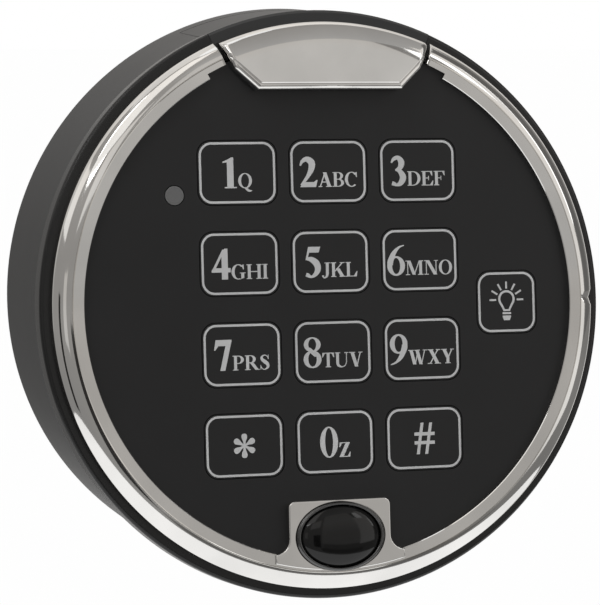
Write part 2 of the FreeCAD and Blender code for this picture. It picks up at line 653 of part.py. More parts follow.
def drawer_tab():
    """Bright pull tab: bezel section outside, rising to an overhanging lip."""
    profile = [(TAB_LIP_Y - FIT_GAP, FIT_GAP), (TAB_LIP_Y - FIT_GAP, TAB_LIP_Z),
               (TAB_LIP_Y + TAB_LIP_W, TAB_LIP_Z), (TAB_MIDDLE_R, TAB_MIDDLE_Z),
               (SHOULDER_R, TAB_EDGE_Z), (TAB_R, -BEZEL_DROP), (TAB_R, -BEZEL_SEAT),
               (BEZEL_BORE_R, -BEZEL_SEAT), (BEZEL_BORE_R, FIT_GAP)]
    far_x = REACH * math.tan(TAB_TURN)
    plan = outline([(-TAB_LIP_HALF_W, TAB_LIP_Y), (TAB_LIP_HALF_W, TAB_LIP_Y),
                    (TAB_SIDE_X, TAB_SIDE_Y), (far_x, REACH), (-far_x, REACH),
                    (-TAB_SIDE_X, TAB_SIDE_Y)], -REACH, REACH)
    gap = sector(TAB_HALF_ANGLE, FIT_GAP, -REACH, REACH)
    return tilted(turned(profile).common(plan).common(gap))


os.makedirs("parts", exist_ok=True)

save("mounting_base", mounting_base())
save("retaining_screw", retaining_screw())
save("rear_housing", rear_housing())
save("chassis", chassis())
save("front_cover", front_cover())
save("housing_screws", housing_screws())
save("chrome_bezel", chrome_bezel())
save("badge_rim", badge_rim())
save("badge_dome", badge_dome())
save("face_plate", face_plate())
for key_name, (key_x, key_y), key_w, key_h in key_sites():
    save(key_name, key_cap(key_x, key_y, key_w, key_h))
save("switch_domes", switch_domes())
save("circuit_board", circuit_board())
save("indicator_led", indicator_led())
save("controller_chip", controller_chip())
save("buzzer", buzzer())
save("cable_socket", cable_socket())
save("contact_springs", contact_springs())
save("battery_drawer", battery_drawer())
save("battery_contacts", battery_contacts())
save("battery", battery())
save("drawer_tab", drawer_tab())
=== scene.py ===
import math

import bmesh
import bpy
from mathutils import Matrix, Vector


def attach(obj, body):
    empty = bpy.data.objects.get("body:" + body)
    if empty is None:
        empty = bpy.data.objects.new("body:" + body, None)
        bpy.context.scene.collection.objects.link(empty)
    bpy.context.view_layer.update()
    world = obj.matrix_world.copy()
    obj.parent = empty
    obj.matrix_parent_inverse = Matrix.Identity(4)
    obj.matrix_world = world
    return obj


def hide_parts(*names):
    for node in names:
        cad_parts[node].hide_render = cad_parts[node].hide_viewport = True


bl_info = {
    "name": "Round safe keypad",
    "version": (1, 0, 0),
    "blender": (4, 5, 0),
    "location": "View3D > Sidebar > Safe keypad",
    "description": "Dresses the packed keypad unit of an electronic safe lock and sets its stage",
    "category": "Object",
}

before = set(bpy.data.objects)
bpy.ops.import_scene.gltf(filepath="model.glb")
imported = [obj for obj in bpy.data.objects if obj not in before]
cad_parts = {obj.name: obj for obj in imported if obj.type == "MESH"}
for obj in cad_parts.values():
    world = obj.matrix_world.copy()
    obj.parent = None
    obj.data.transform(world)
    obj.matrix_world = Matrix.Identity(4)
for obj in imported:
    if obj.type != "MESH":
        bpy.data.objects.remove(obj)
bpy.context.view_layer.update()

MM = 0.001
RING_STEPS = 256
SMOOTH_ANGLE = math.radians(32)
REACH = 80.0
WELD = 1e-6
ROOM_LIGHT = 0.45
FLOOR_DROP = 0.62
FLOOR_GLOW = 0.985
LOW_TINT = (1.0, 0.985, 0.965)
HIGH_TINT = (1.0, 0.96, 0.915)
PICTURE = (600.0, 605.0)
SENSOR = 36.0


def in_mm(name, description, default):
    return bpy.props.FloatProperty(name=name, description=description, default=default)


def in_degrees(name, description, default):
    return bpy.props.FloatProperty(name=name, description=description, unit="ROTATION",
                                   default=math.radians(default))


def as_colour(name, description, default):
    return bpy.props.FloatVectorProperty(name=name, description=description, subtype="COLOR", size=4,
                                         default=default)


class FaceSizes(bpy.types.PropertyGroup):
    """Where the sloping face stands, in millimetres from the door."""
    tilt: in_degrees("Face tilt", "How far the face leans back", 6.25)
    height: in_mm("Face height", "Door to the middle of the face, mm", 30.7000178)
    fit_gap: in_mm("Fit gap", "Space between rounded pieces, mm", 0.3)


class RimSizes(bpy.types.PropertyGroup):
    """Section of the bright bezel and of the black cover outside it, mm in the face frame."""
    flange_r: in_mm("Flange radius", "Inner edge of the flat flange", 44.8)
    crease_r: in_mm("Crease radius", "Line between flange and shoulder", 46.9)
    bezel_r: in_mm("Bezel radius", "Outer edge of the bezel", 50.0)
    cover_r: in_mm("Cover radius", "Outside of the black cover", 51.8)
    base_r: in_mm("Housing radius", "Outside of the sloping wall", 51.2)
    wall: in_mm("Wall", "Thickness of the sloping wall", 2.4)
    lip: in_mm("Lip", "Inward lip at the back of the wall", 2.5)
    lip_z: in_mm("Lip height", "Front of the lip above the door", 2.7)
    front_round: in_mm("Front rounding", "Rounding of the cover's front edge", 0.75)
    back_round: in_mm("Seam rounding", "Rounding of the cover at the seam", 0.45)
    plate: in_mm("Plate", "Face plate's thickness", 1.5)
    ledge_r: in_mm("Ledge radius", "Inside of the ledge under the plate", 41.8)
    grub_r: in_mm("Grub hole", "Radius of the hole for the retaining screw", 1.8)
    grub_z: in_mm("Grub height", "That hole above the door", 6.4)
    flange_z: in_mm("Flange height", "Flange above the face", 1.2)
    drop: in_mm("Edge drop", "Bezel's outer edge below the face", 1.3)
    seat: in_mm("Seat depth", "Bezel's seat below the face", 2.5)
    bulge: in_mm("Bulge", "Shoulder's arc out from its chord", 0.55)
    bore_r: in_mm("Bezel bore", "Radius of the bezel's bore", 46.3)
    seam: in_mm("Seam depth", "Face to the seam between cover and housing", 6.5)
    flange_edge: in_mm("Flange edge", "Bevel of the flange's inner edge", 0.12)
    groove: in_mm("Crease groove", "Depth of the fine groove at the crease", 0.22)


class BadgeSizes(bpy.types.PropertyGroup):
    """Raised plate at the foot of the bezel and the oval set in it, mm."""
    half_w: in_mm("Plate half width", "Middle to the plate's side", 9.4)
    length: in_mm("Plate length", "Plate inwards from the flange", 10.6)
    plate_z: in_mm("Plate height", "Plate above the face", 1.6)
    corner: in_mm("Plate corner", "Radius of its two upper corners", 1.2)
    fillet: in_mm("Foot fillet", "Hollow curve from plate to flange", 2.6)
    centre_y: in_mm("Oval centre", "Height of the oval's middle on the face", -40.6)
    oval_w: in_mm("Oval half width", "Half width of the oval rim", 8.2)
    oval_h: in_mm("Oval half height", "Half height of the oval rim", 6.1)
    rim_w: in_mm("Rim width", "Width of the oval rim", 0.9)
    rim_h: in_mm("Rim height", "Rim above its pocket", 1.3)
    pocket_gap: in_mm("Pocket gap", "Space round the oval rim", 0.12)
    plate_edge: in_mm("Plate edge", "Rounding of the plate's upper edge", 0.28)
    pocket_z: in_mm("Pocket height", "Floor of the pocket above the face", 0.8)
    dome_h: in_mm("Dome height", "Crown of the dome above the pocket", 2.5)
    skirt_h: in_mm("Dome skirt", "Edge of the dome at its ends, above the pocket", 0.6)


class NotchSizes(bpy.types.PropertyGroup):
    """Index notch in the bezel at three o'clock, mm."""
    inset: in_mm("Inset", "Apex of the V inside the crease", 0.2)
    half_w: in_mm("Half width", "Half the V's opening at the bezel's edge", 1.75)
    depth: in_mm("Depth", "Depth of the V for each mm of its half width", 0.55)


class TabSizes(bpy.types.PropertyGroup):
    """Pull tab of the battery drawer and the gap that it fills, mm and degrees."""
    gap_angle: in_degrees("Gap half angle", "Gap in the rim", 23.7)
    gap_foot: in_mm("Gap foot", "Where the wall's gap starts above the door", 4.0)
    relief_angle: in_degrees("Relief half angle", "Where the flange gets narrower", 28.6)
    relief_w: in_mm("Relief width", "How much narrower the flange gets", 1.0)
    outer_r: in_mm("Tab radius", "Outer edge of the tab", 49.7)
    lip_y: in_mm("Lip", "Straight lower lip above the middle", 37.4)
    lip_half_w: in_mm("Lip half width", "Half length of the lip", 13.2)
    side_x: in_mm("Side corner across", "Where the slanted side ends", 17.2)
    side_y: in_mm("Side corner up", "Where the slanted side ends", 41.1)
    lip_z: in_mm("Lip height", "Lip above the face", 3.4)
    fall: in_degrees("Fall", "Slope of the tab's top", 8.4)
    land: in_mm("Land", "Level strip behind the lip", 0.6)
    turn_r: in_mm("Turn radius", "Where the top starts to fall quicker", 45.1)
    brow_r: in_mm("Brow radius", "Where the outer rounding starts", 48.5)
    brow_fall: in_degrees("Brow fall", "Slope at the outer rounding", 29)
    edge_round: in_mm("Edge rounding", "Rounding along the lip and the sides", 0.95)
    groove_w: in_mm("Groove width", "Fine groove inside the rounded lip", 0.34)
    groove_d: in_mm("Groove depth", "Depth of that groove", 0.10)
    end_round: in_mm("End rounding", "Rounding of the bezel's two ends", 0.5)
    seam: in_mm("Drawer seam", "Seam beside the drawer's black front", 0.06)


class KeySizes(bpy.types.PropertyGroup):
    """Printed key frames, mm."""
    pitch_x: in_mm("Pitch across", "Between key columns", 16.67)
    pitch_y: in_mm("Pitch down", "Between key rows", 15.8)
    top_y: in_mm("Top row", "Height of the top row's middle", 23.2)
    line_w: in_mm("Line width", "Width of a printed frame's line", 0.39)
    frame_w: in_mm("Frame width", "Printed frame, between its line's middles", 13.42)
    frame_h: in_mm("Frame height", "Printed frame, between its line's middles", 10.24)
    light_w: in_mm("Light frame width", "Frame of the light key", 10.41)
    light_x: in_mm("Light key across", "Middle of the light key", 33.0)
    light_y: in_mm("Light key up", "Middle of the light key", -0.5)
    corner: in_mm("Frame corner", "Corner radius of the line's middle", 2.1)
    digit_h: in_mm("Digit height", "Height of a key's digit", 5.35)
    letter_h: in_mm("Letter height", "Cap height of the small letters", 2.55)
    digit_gap: in_mm("Digit gap", "Space after the digit", 0.12)
    letter_gap: in_mm("Letter gap", "Space between letters", 0.10)
    lift: in_mm("Stroke lift", "Each further stroke of a key lies higher by this", 0.0006)
    ink: in_mm("Ink thickness", "Height of the print above the key", 0.02)


class Colours(bpy.types.PropertyGroup):
    """Finish colours."""
    chrome: as_colour("Chrome", "Bright plating", (0.83, 0.82, 0.80, 1.0))
    wall: as_colour("Housing", "Satin black of the sloping wall", (0.020, 0.0205, 0.021, 1.0))
    cover: as_colour("Cover", "Darker black of the front cover", (0.008, 0.008, 0.008, 1.0))
    face: as_colour("Face", "Black of the key face", (0.0098, 0.0099, 0.0104, 1.0))
    ink: as_colour("Print", "Light grey print on the keys", (0.50, 0.50, 0.50, 1.0))


class StageSizes(bpy.types.PropertyGroup):
    """Camera and light. The camera's place is given about the middle of the face."""
    azimuth: in_degrees("Camera azimuth", "To the side of the face's normal", -18.25)
    elevation: in_degrees("Camera elevation", "Above the face's normal", 0.14)
    roll: in_degrees("Camera roll", "Turn about the line of sight", -1.51)
    distance: in_mm("Camera distance", "To the middle of the face, mm", 521.0)
    focal: in_mm("Focal length", "In pixels of the 600 x 605 picture", 2973.0)
    centre_x: in_mm("Face across", "Middle of the face in the picture, px", 331.71)
    centre_y: in_mm("Face down", "Middle of the face in the picture, px", 303.92)


# Cards seen by reflections: name, azimuths, elevations, distance in metres, grey.
CARDS = [
    ("left_room", (-180, 0), (-28, 78), 1.30, 0.27, 0.36),
    ("right_room", (0, 180), (-28, 78), 1.30, 0.20, 0.24),
    ("back_wall", (112, 248), (7, 78), 1.20, 0.36, 0.95),
    ("left_back_card", (-146, -114), (-8, 22), 1.15, 0.38, 0.55),
    ("front_card_low", (-2, 34), (-10, 6), 1.10, 0.41, 0.44),
    ("front_card", (-2, 34), (6, 20), 1.10, 0.44, 0.57),
    ("front_card_high", (-2, 34), (20, 42), 1.10, 0.57, 0.55),
    ("high_front_card", (-10, 110), (42, 84), 1.12, 0.40, 0.30),
    ("left_high_card", (-28, -6), (18, 34), 1.08, 0.70, 0.72),
    ("left_softbox", (-72, -22), (36, 76), 1.10, 1.0, 1.0),
    ("left_edge_light", (-112, -76), (19, 38), 1.10, 0.85, 0.85),
    ("left_step_light", (-50, -34), (-3, 12), 1.10, 0.55, 0.55),
    ("high_left_light", (-180, -90), (56, 78), 1.10, 0.75, 0.75),
    ("right_softbox", (33, 62), (-12, 28), 1.05, 0.80, 0.80),
    ("right_high_softbox", (50, 66), (28, 46), 1.05, 0.80, 0.80),
    ("right_dark", (68, 104), (-4, 50), 1.10, 0.13, 0.13),
    ("right_far", (104, 122), (-16, 44), 1.10, 0.20, 0.22),
    ("right_back_card", (122, 180), (-32, 44), 1.08, 0.70, 0.70),
    ("left_dark_strip", (-76, -66), (-24, 6), 1.05, 0.02, 0.02),
    ("low_dark_strip", (-16, -4), (-18, 4), 1.00, 0.03, 0.03),
    ("low_front_strip", (-4, 40), (-25, -18), 1.00, 0.12, 0.12),
]


# Lamps: name, azimuth, elevation, distance and size in metres, watts.
LAMPS = [("key_lamp", -50, 50, 1.1, 0.7, 5.0), ("fill_lamp", 60, 30, 1.2, 0.8, 2.5)]

# Key legends.  Each sign has a width and a list of strokes, on a cap height of 1:
#   bar   x0, y0, x1, y1          upright rectangle
#   slant x0, y0, x1, y1, w       stroke with level ends, w wide
#   shape (x, y), ...             closed outline
#   brush (x, y, w), ...          smooth stroke of changing width
#   bowl  x, y, rx, ry, tx, ty, a0, a1   part of an oval band, tx thick at its sides
STEM = 0.21
HAIR = 0.055
FOOT = 0.09


def under(x0, x1):
    """A hairline on the base line."""
    return ("bar", x0, 0, x1, HAIR)


def over(x0, x1):
    """A hairline at cap height."""
    return ("bar", x0, 1 - HAIR, x1, 1)


def stem(x, top=True):
    """An upright stroke with its level serifs."""
    serif = (x - FOOT, x + STEM + FOOT)
    return [("bar", x, 0, x + STEM, 1), under(*serif)] + ([over(*serif)] if top else [])


SIGNS = {
    "A": (1.0, [("slant", 0.13, 0, 0.49, 1, 0.09), ("slant", 0.80, 0, 0.47, 1, 0.25),
                ("bar", 0.24, 0.30, 0.70, 0.37), under(0, 0.28),
                under(0.56, 1.0)]),
    "B": (0.84, stem(0.09) + [
        over(0.2, 0.44), ("bar", 0.2, 0.49, 0.44, 0.545), under(0.2, 0.44),
        ("bowl", 0.42, 0.745, 0.34, 0.255, 0.20, HAIR, -90, 90),
        ("bowl", 0.42, 0.27, 0.40, 0.27, 0.21, HAIR, -90, 90)]),
    "C": (0.92, [("bowl", 0.50, 0.5, 0.49, 0.52, 0.22, 0.06, 42, 312),
                 ("shape", (0.88, 1.0), (0.83, 1.0), (0.74, 0.9), (0.84, 0.64), (0.89, 0.64))]),
    "D": (1.0, stem(0.09) + [over(0.2, 0.42), under(0.2, 0.42),
                             ("bowl", 0.40, 0.5, 0.57, 0.5, 0.22, HAIR, -90, 90)]),
    "E": (0.88, stem(0.09) + [
        over(0.2, 0.80), ("bar", 0.2, 0.485, 0.52, 0.545), under(0.2, 0.82),
        ("shape", (0.80, 1), (0.60, 1), (0.76, 0.68), (0.81, 0.68)),
        ("bar", 0.50, 0.36, 0.555, 0.66),
        ("shape", (0.60, 0), (0.83, 0), (0.88, 0.34), (0.83, 0.34))]),
    "F": (0.82, stem(0.09) + [
        over(0.2, 0.80), ("bar", 0.2, 0.485, 0.52, 0.545),
        ("shape", (0.80, 1), (0.60, 1), (0.76, 0.68), (0.81, 0.68)),
        ("bar", 0.50, 0.36, 0.555, 0.66)]),
    "G": (1.04, [("bowl", 0.50, 0.5, 0.49, 0.52, 0.22, 0.06, 45, 290),
                 ("shape", (0.88, 1.0), (0.83, 1.0), (0.74, 0.9), (0.84, 0.66), (0.89, 0.66)),
                 ("shape", (0.62, -0.01), (0.91, 0.09), (0.91, 0.42), (0.70, 0.42), (0.70, 0.06)),
                 ("bar", 0.60, 0.40, 1.01, 0.45)]),
    "H": (1.10, stem(0.09) + stem(0.79) + [("bar", 0.25, 0.47, 0.85, 0.535)]),
    "I": (0.39, stem(0.09)),
    "J": (0.62, [("bar", 0.30, 0.25, 0.51, 1), ("bar", 0.21, 1 - HAIR, 0.60, 1),
                 ("brush", (0.405, 0.30, 0.21), (0.36, 0.08, 0.17), (0.20, -0.05, 0.08),
                  (0.09, 0.05, 0.13), (0.09, 0.12, 0.14))]),
    "K": (1.04, stem(0.09) + [("slant", 0.30, 0.38, 0.82, 0.96, 0.11), ("slant", 0.86, 0, 0.50, 0.58, 0.27),
                              under(0.62, 1.05), over(0.66, 1.0)]),
    "L": (0.84, stem(0.09) + [under(0.2, 0.80),
                              ("shape", (0.55, 0), (0.80, 0), (0.85, 0.36), (0.80, 0.36))]),
    "M": (1.34, [("bar", 0.12, 0, 0.18, 1), under(0.0, 0.32), over(0.0, 0.34),
                 ("slant", 0.62, 0.02, 0.24, 1, 0.24), ("slant", 0.63, 0.02, 1.02, 1, 0.07),
                 ("bar", 1.0, 0, 1.21, 1), under(0.90, 1.30), over(0.98, 1.30)]),
    "N": (1.04, [("bar", 0.12, 0, 0.18, 1), under(0.0, 0.32), over(0.0, 0.30),
                 ("slant", 0.82, 0, 0.24, 1, 0.26), ("bar", 0.84, 0, 0.90, 1),
                 over(0.72, 1.02)]),
    "O": (1.0, [("bowl", 0.49, 0.5, 0.49, 0.52, 0.21, HAIR, 0, 360)]),
    "P": (0.82, stem(0.09) + [over(0.2, 0.42), ("bar", 0.2, 0.44, 0.42, 0.495),
                              ("bowl", 0.40, 0.72, 0.39, 0.28, 0.21, HAIR, -90, 90)]),
    "Q": (1.0, [("bowl", 0.49, 0.5, 0.49, 0.52, 0.21, HAIR, 0, 360),
                ("brush", (0.48, 0.04, 0.07), (0.60, -0.06, 0.17), (0.76, -0.19, 0.15),
                 (0.98, -0.18, 0.04))]),
    "R": (1.02, stem(0.09) + [over(0.2, 0.42), ("bar", 0.2, 0.46, 0.42, 0.515),
                              ("bowl", 0.40, 0.73, 0.38, 0.27, 0.21, HAIR, -90, 90),
                              ("slant", 0.86, 0, 0.46, 0.52, 0.26), under(0.74, 1.04)]),
    "S": (0.74, [("brush", (0.60, 0.80, 0.04), (0.50, 0.93, 0.06), (0.34, 0.98, 0.06), (0.16, 0.87, 0.14),
                  (0.17, 0.70, 0.20), (0.36, 0.54, 0.25), (0.55, 0.38, 0.23), (0.57, 0.17, 0.18),
                  (0.38, 0.02, 0.07), (0.20, 0.05, 0.06), (0.08, 0.22, 0.04)),
                 ("bar", 0.59, 0.70, 0.635, 1.0), ("bar", 0.05, 0.0, 0.095, 0.32)]),
    "T": (0.88, stem(0.33, top=False) + [
        over(0.03, 0.84), ("shape", (0.02, 1), (0.0, 0.68), (0.05, 0.68), (0.22, 1)),
        ("shape", (0.85, 1), (0.65, 1), (0.82, 0.68), (0.87, 0.68))]),
    "U": (1.0, [("bar", 0.09, 0.3, 0.30, 1), over(0.0, 0.39), ("bar", 0.81, 0.3, 0.87, 1),
                over(0.70, 0.99),
                ("brush", (0.195, 0.34, 0.21), (0.24, 0.13, 0.19), (0.48, 0.0, 0.09), (0.74, 0.10, 0.06),
                 (0.84, 0.34, 0.06))]),
    "V": (0.98, [("slant", 0.53, -0.01, 0.22, 1, 0.25), ("slant", 0.55, -0.01, 0.83, 1, 0.08),
                 over(0.0, 0.44), over(0.68, 0.98)]),
    "W": (1.38, [("slant", 0.46, -0.01, 0.20, 1, 0.24), ("slant", 0.50, -0.01, 0.70, 0.9, 0.07),
                 ("slant", 0.92, -0.01, 0.64, 1, 0.24), ("slant", 0.95, -0.01, 1.22, 1, 0.07),
                 over(0.0, 0.40), over(0.46, 0.86),
                 over(1.08, 1.37)]),
    "X": (0.98, [("slant", 0.75, 0, 0.22, 1, 0.27), ("slant", 0.18, 0, 0.78, 1, 0.09),
                 over(0.0, 0.44), over(0.62, 0.95), under(0.0, 0.34),
                 under(0.52, 0.98)]),
    "Y": (0.96, [("slant", 0.48, 0.40, 0.20, 1, 0.26), ("slant", 0.52, 0.42, 0.80, 1, 0.09),
                 ("bar", 0.38, 0, 0.59, 0.48), under(0.28, 0.69), over(0.0, 0.42),
                 over(0.66, 0.94)]),
    "Z": (0.86, [over(0.07, 0.60), ("shape", (0.06, 1), (0.04, 0.68), (0.09, 0.68), (0.26, 1)),
                 ("slant", 0.17, 0, 0.67, 1, 0.29), under(0.20, 0.80),
                 ("shape", (0.60, 0), (0.81, 0), (0.85, 0.34), (0.80, 0.34))]),
    "0": (0.62, [("bowl", 0.31, 0.5, 0.31, 0.51, 0.175, 0.045, 0, 360)]),
    "1": (0.50, [("shape", (0.15, 0), (0.37, 0), (0.37, 1.0), (0.31, 1.0), (0.15, 0.92)),
                 ("shape", (0.0, 0.86), (0.01, 0.82), (0.17, 0.84), (0.34, 1.0)),
                 ("bar", 0.06, 0, 0.47, 0.04)]),
    "2": (0.63, [("brush", (0.04, 0.70, 0.05), (0.11, 0.84, 0.11), (0.27, 0.915, 0.17), (0.43, 0.80, 0.23),
                  (0.42, 0.60, 0.20), (0.31, 0.38, 0.13), (0.16, 0.18, 0.09), (0.06, 0.06, 0.07)),
                 ("shape", (0.02, 0.0), (0.57, 0.0), (0.63, 0.23), (0.585, 0.23), (0.50, 0.165),
                  (0.14, 0.165))]),
    "3": (0.58, [("brush", (0.05, 0.76, 0.05), (0.13, 0.88, 0.11), (0.28, 0.93, 0.14), (0.40, 0.79, 0.21),
                  (0.36, 0.61, 0.17), (0.20, 0.52, 0.06)),
                 ("brush", (0.18, 0.53, 0.05), (0.34, 0.48, 0.15), (0.45, 0.28, 0.22), (0.36, 0.09, 0.17),
                  (0.22, 0.03, 0.09), (0.13, 0.07, 0.13), (0.06, 0.09, 0.13))]),
    "4": (0.64, [("slant", 0.06, 0.30, 0.42, 0.97, 0.09), ("shape", (0.34, 0.0), (0.55, 0.0), (0.55, 1.0),
                  (0.44, 1.0), (0.34, 0.8)), ("shape", (0.0, 0.23), (0.64, 0.23), (0.64, 0.37),
                  (0.05, 0.37), (0.0, 0.29))]),
    "5": (0.58, [("shape", (0.17, 1.0), (0.57, 1.0), (0.51, 0.81), (0.17, 0.81)),
                 ("shape", (0.15, 1.0), (0.23, 1.0), (0.12, 0.60), (0.05, 0.56)),
                 ("brush", (0.06, 0.60, 0.05), (0.24, 0.59, 0.17), (0.42, 0.46, 0.22), (0.47, 0.27, 0.20),
                  (0.38, 0.10, 0.14), (0.24, 0.02, 0.08), (0.13, 0.07, 0.13), (0.06, 0.10, 0.12))]),
    "6": (0.62, [("brush", (0.60, 0.985, 0.03), (0.42, 0.92, 0.07), (0.24, 0.74, 0.15), (0.12, 0.48, 0.20),
                  (0.10, 0.34, 0.19)),
                 ("bowl", 0.31, 0.31, 0.31, 0.325, 0.17, 0.06, 0, 360)]),
    "7": (0.60, [("shape", (0.06, 1.0), (0.60, 1.0), (0.60, 0.95), (0.50, 0.80), (0.12, 0.80)),
                 ("shape", (0.06, 1.0), (0.0, 0.66), (0.04, 0.66), (0.16, 0.82)),
                 ("slant", 0.28, 0, 0.51, 0.95, 0.17)]),
    "8": (0.62, [("bowl", 0.31, 0.755, 0.29, 0.245, 0.155, 0.05, 0, 360),
                 ("bowl", 0.31, 0.275, 0.31, 0.285, 0.165, 0.05, 0, 360),
                 ("slant", 0.48, 0.36, 0.14, 0.66, 0.20)]),
    "9": (0.62, [("brush", (0.02, 0.015, 0.03), (0.20, 0.08, 0.07), (0.38, 0.26, 0.15), (0.50, 0.52, 0.20),
                  (0.52, 0.66, 0.19)),
                 ("bowl", 0.31, 0.69, 0.31, 0.325, 0.17, 0.06, 0, 360)]),
}

LEGENDS = {"1": "1Q", "2": "2ABC", "3": "3DEF", "4": "4GHI", "5": "5JKL", "6": "6MNO", "7": "7PRS",
           "8": "8TUV", "9": "9WXY", "0": "0Z"}

# Signs drawn in millimetres about the middle of their key.
HASH_SIGN = [("slant", -1.24, -2.80, -0.37, 2.75, 0.56), ("slant", 0.35, -2.80, 1.25, 2.75, 0.56),
             ("bar", -1.87, 0.48, 1.95, 1.07), ("bar", -1.87, -1.07, 1.95, -0.48)]
BULB_SIGN = [("bowl", 0, 0.55, 1.58, 1.55, 0.40, 0.38, -38, 218),
             ("brush", (1.10, -0.30, 0.40), (0.72, -0.95, 0.38), (0.52, -1.40, 0.36)),
             ("brush", (-1.10, -0.30, 0.40), (-0.72, -0.95, 0.38), (-0.52, -1.40, 0.36)),
             ("bar", -0.66, -1.62, 0.66, -1.30), ("bar", -0.80, -2.18, 0.80, -1.82),
             ("shape", (-0.80, -2.42), (-0.80, -2.62), (-0.56, -3.26), (0.56, -3.26), (0.80, -2.62),
              (0.80, -2.42))]


GROUPS = {
    "lock_face": FaceSizes, "lock_rim": RimSizes, "lock_badge": BadgeSizes, "lock_tab": TabSizes,
    "lock_notch": NotchSizes, "lock_keys": KeySizes, "lock_colours": Colours, "lock_stage": StageSizes,
}


# Helpers for meshes.

def select_only(obj):
    bpy.ops.object.select_all(action="DESELECT")
    obj.select_set(True)
    bpy.context.view_layer.objects.active = obj


def named(name):
    obj = bpy.context.object
    obj.name = name
    obj.data.name = name
    return obj


def apply_modifier(obj, kind, **values):
    select_only(obj)
    modifier = obj.modifiers.new(kind.lower(), kind)
    for key, value in values.items():
        setattr(modifier, key, value)
    bpy.ops.object.modifier_apply(modifier=modifier.name)


def boolean(obj, cutter, operation="DIFFERENCE"):
    apply_modifier(obj, "BOOLEAN", object=cutter, operation=operation, solver="EXACT")
    bpy.data.objects.remove(cutter)
    return obj


def close_shape(weld=False):
    """Welds a shape where asked, turns its faces outwards and leaves edit mode."""
    bpy.ops.mesh.select_all(action="SELECT")
    if weld:
        bpy.ops.mesh.remove_doubles(threshold=WELD)
    bpy.ops.mesh.normals_make_consistent(inside=False)
    bpy.ops.object.mode_set(mode="OBJECT")


def turned(name, section, steps=RING_STEPS, closed=True):
    """A circle extruded along its section of (radius, height) points: a ring, or a cap if left open."""
    bpy.ops.object.select_all(action="DESELECT")
    bpy.ops.mesh.primitive_circle_add(vertices=steps, radius=section[0][0] * MM,
                                      fill_type="NOTHING" if closed else "NGON")
    obj = named(name)
    bpy.ops.object.mode_set(mode="EDIT")
    bpy.ops.mesh.select_all(action="SELECT")
    bpy.ops.transform.translate(value=(0, 0, section[0][1] * MM))
    onwards = section[1:] + section[:1] if closed else section[1:]
    for (r0, z0), (r1, z1) in zip(section, onwards):
        bpy.ops.mesh.extrude_region_move(TRANSFORM_OT_translate={"value": (0, 0, (z1 - z0) * MM)})
        bpy.ops.transform.resize(value=(r1 / r0, r1 / r0, 1), center_override=(0, 0, 0))
    close_shape(weld=closed)
    return obj


def prism(name, corners, bottom, top):
    """A block on a closed outline: a filled circle whose corners are set, then extruded."""
    bpy.ops.object.select_all(action="DESELECT")
    bpy.ops.mesh.primitive_circle_add(vertices=len(corners), radius=MM, fill_type="NGON")
    obj = named(name)
    for vertex, (x, y) in zip(obj.data.vertices, corners):
        vertex.co = (x * MM, y * MM, bottom * MM)
    bpy.ops.object.mode_set(mode="EDIT")
    bpy.ops.mesh.select_all(action="SELECT")
    bpy.ops.mesh.extrude_region_move(
        TRANSFORM_OT_translate={"value": (0, 0, (top - bottom) * MM)})
    close_shape()
    return obj


def select_edges(obj, test):
    """Goes to edit mode with the edges selected that the test picks by their two ends, in mm."""
    bpy.ops.object.mode_set(mode="EDIT")
    bpy.ops.mesh.select_mode(type="EDGE")
    bpy.ops.mesh.select_all(action="DESELECT")
    mesh = bmesh.from_edit_mesh(obj.data)
    count = 0
    for edge in mesh.edges:
        if test(edge.verts[0].co / MM, edge.verts[1].co / MM):
            edge.select_set(True)
            count += 1
    bmesh.update_edit_mesh(obj.data)
    if not count:
        raise RuntimeError("no edges were picked on " + obj.name)


def arc(centre_x, centre_y, radius, start, end, steps):
    turns = [math.radians(start + (end - start) * i / steps) for i in range(steps + 1)]
    return [(centre_x + radius * math.cos(turn), centre_y + radius * math.sin(turn)) for turn in turns]


def oval_points(half_w, half_h, centre_y, steps=96):
    turns = [2 * math.pi * i / steps for i in range(steps)]
    return [(half_w * math.cos(turn), centre_y + half_h * math.sin(turn)) for turn in turns]


def smooth_line(points, steps=6):
    """Points of a smooth line through the given (x, y, width) points."""
    ends = [points[0]] + list(points) + [points[-1]]
    line = []
    for a, b, c, d in zip(ends, ends[1:], ends[2:], ends[3:]):
        for i in range(steps):
            k = i / steps
            line.append(tuple(
                0.5 * (2 * q + (r - p) * k + (2 * p - 5 * q + 4 * r - s) * k ** 2
                       + (3 * q - p - 3 * r + s) * k ** 3) for p, q, r, s in zip(a, b, c, d)))
    return line + [points[-1]]


def strip(left, right, closed=False):
    """Faces between two rows of points."""
    n = len(left)
    faces = [(i, i + 1, n + i + 1, n + i) for i in range(n - 1)]
    if closed:
        faces.append((n - 1, 0, n, 2 * n - 1))
    return {"points": left + right, "faces": faces}


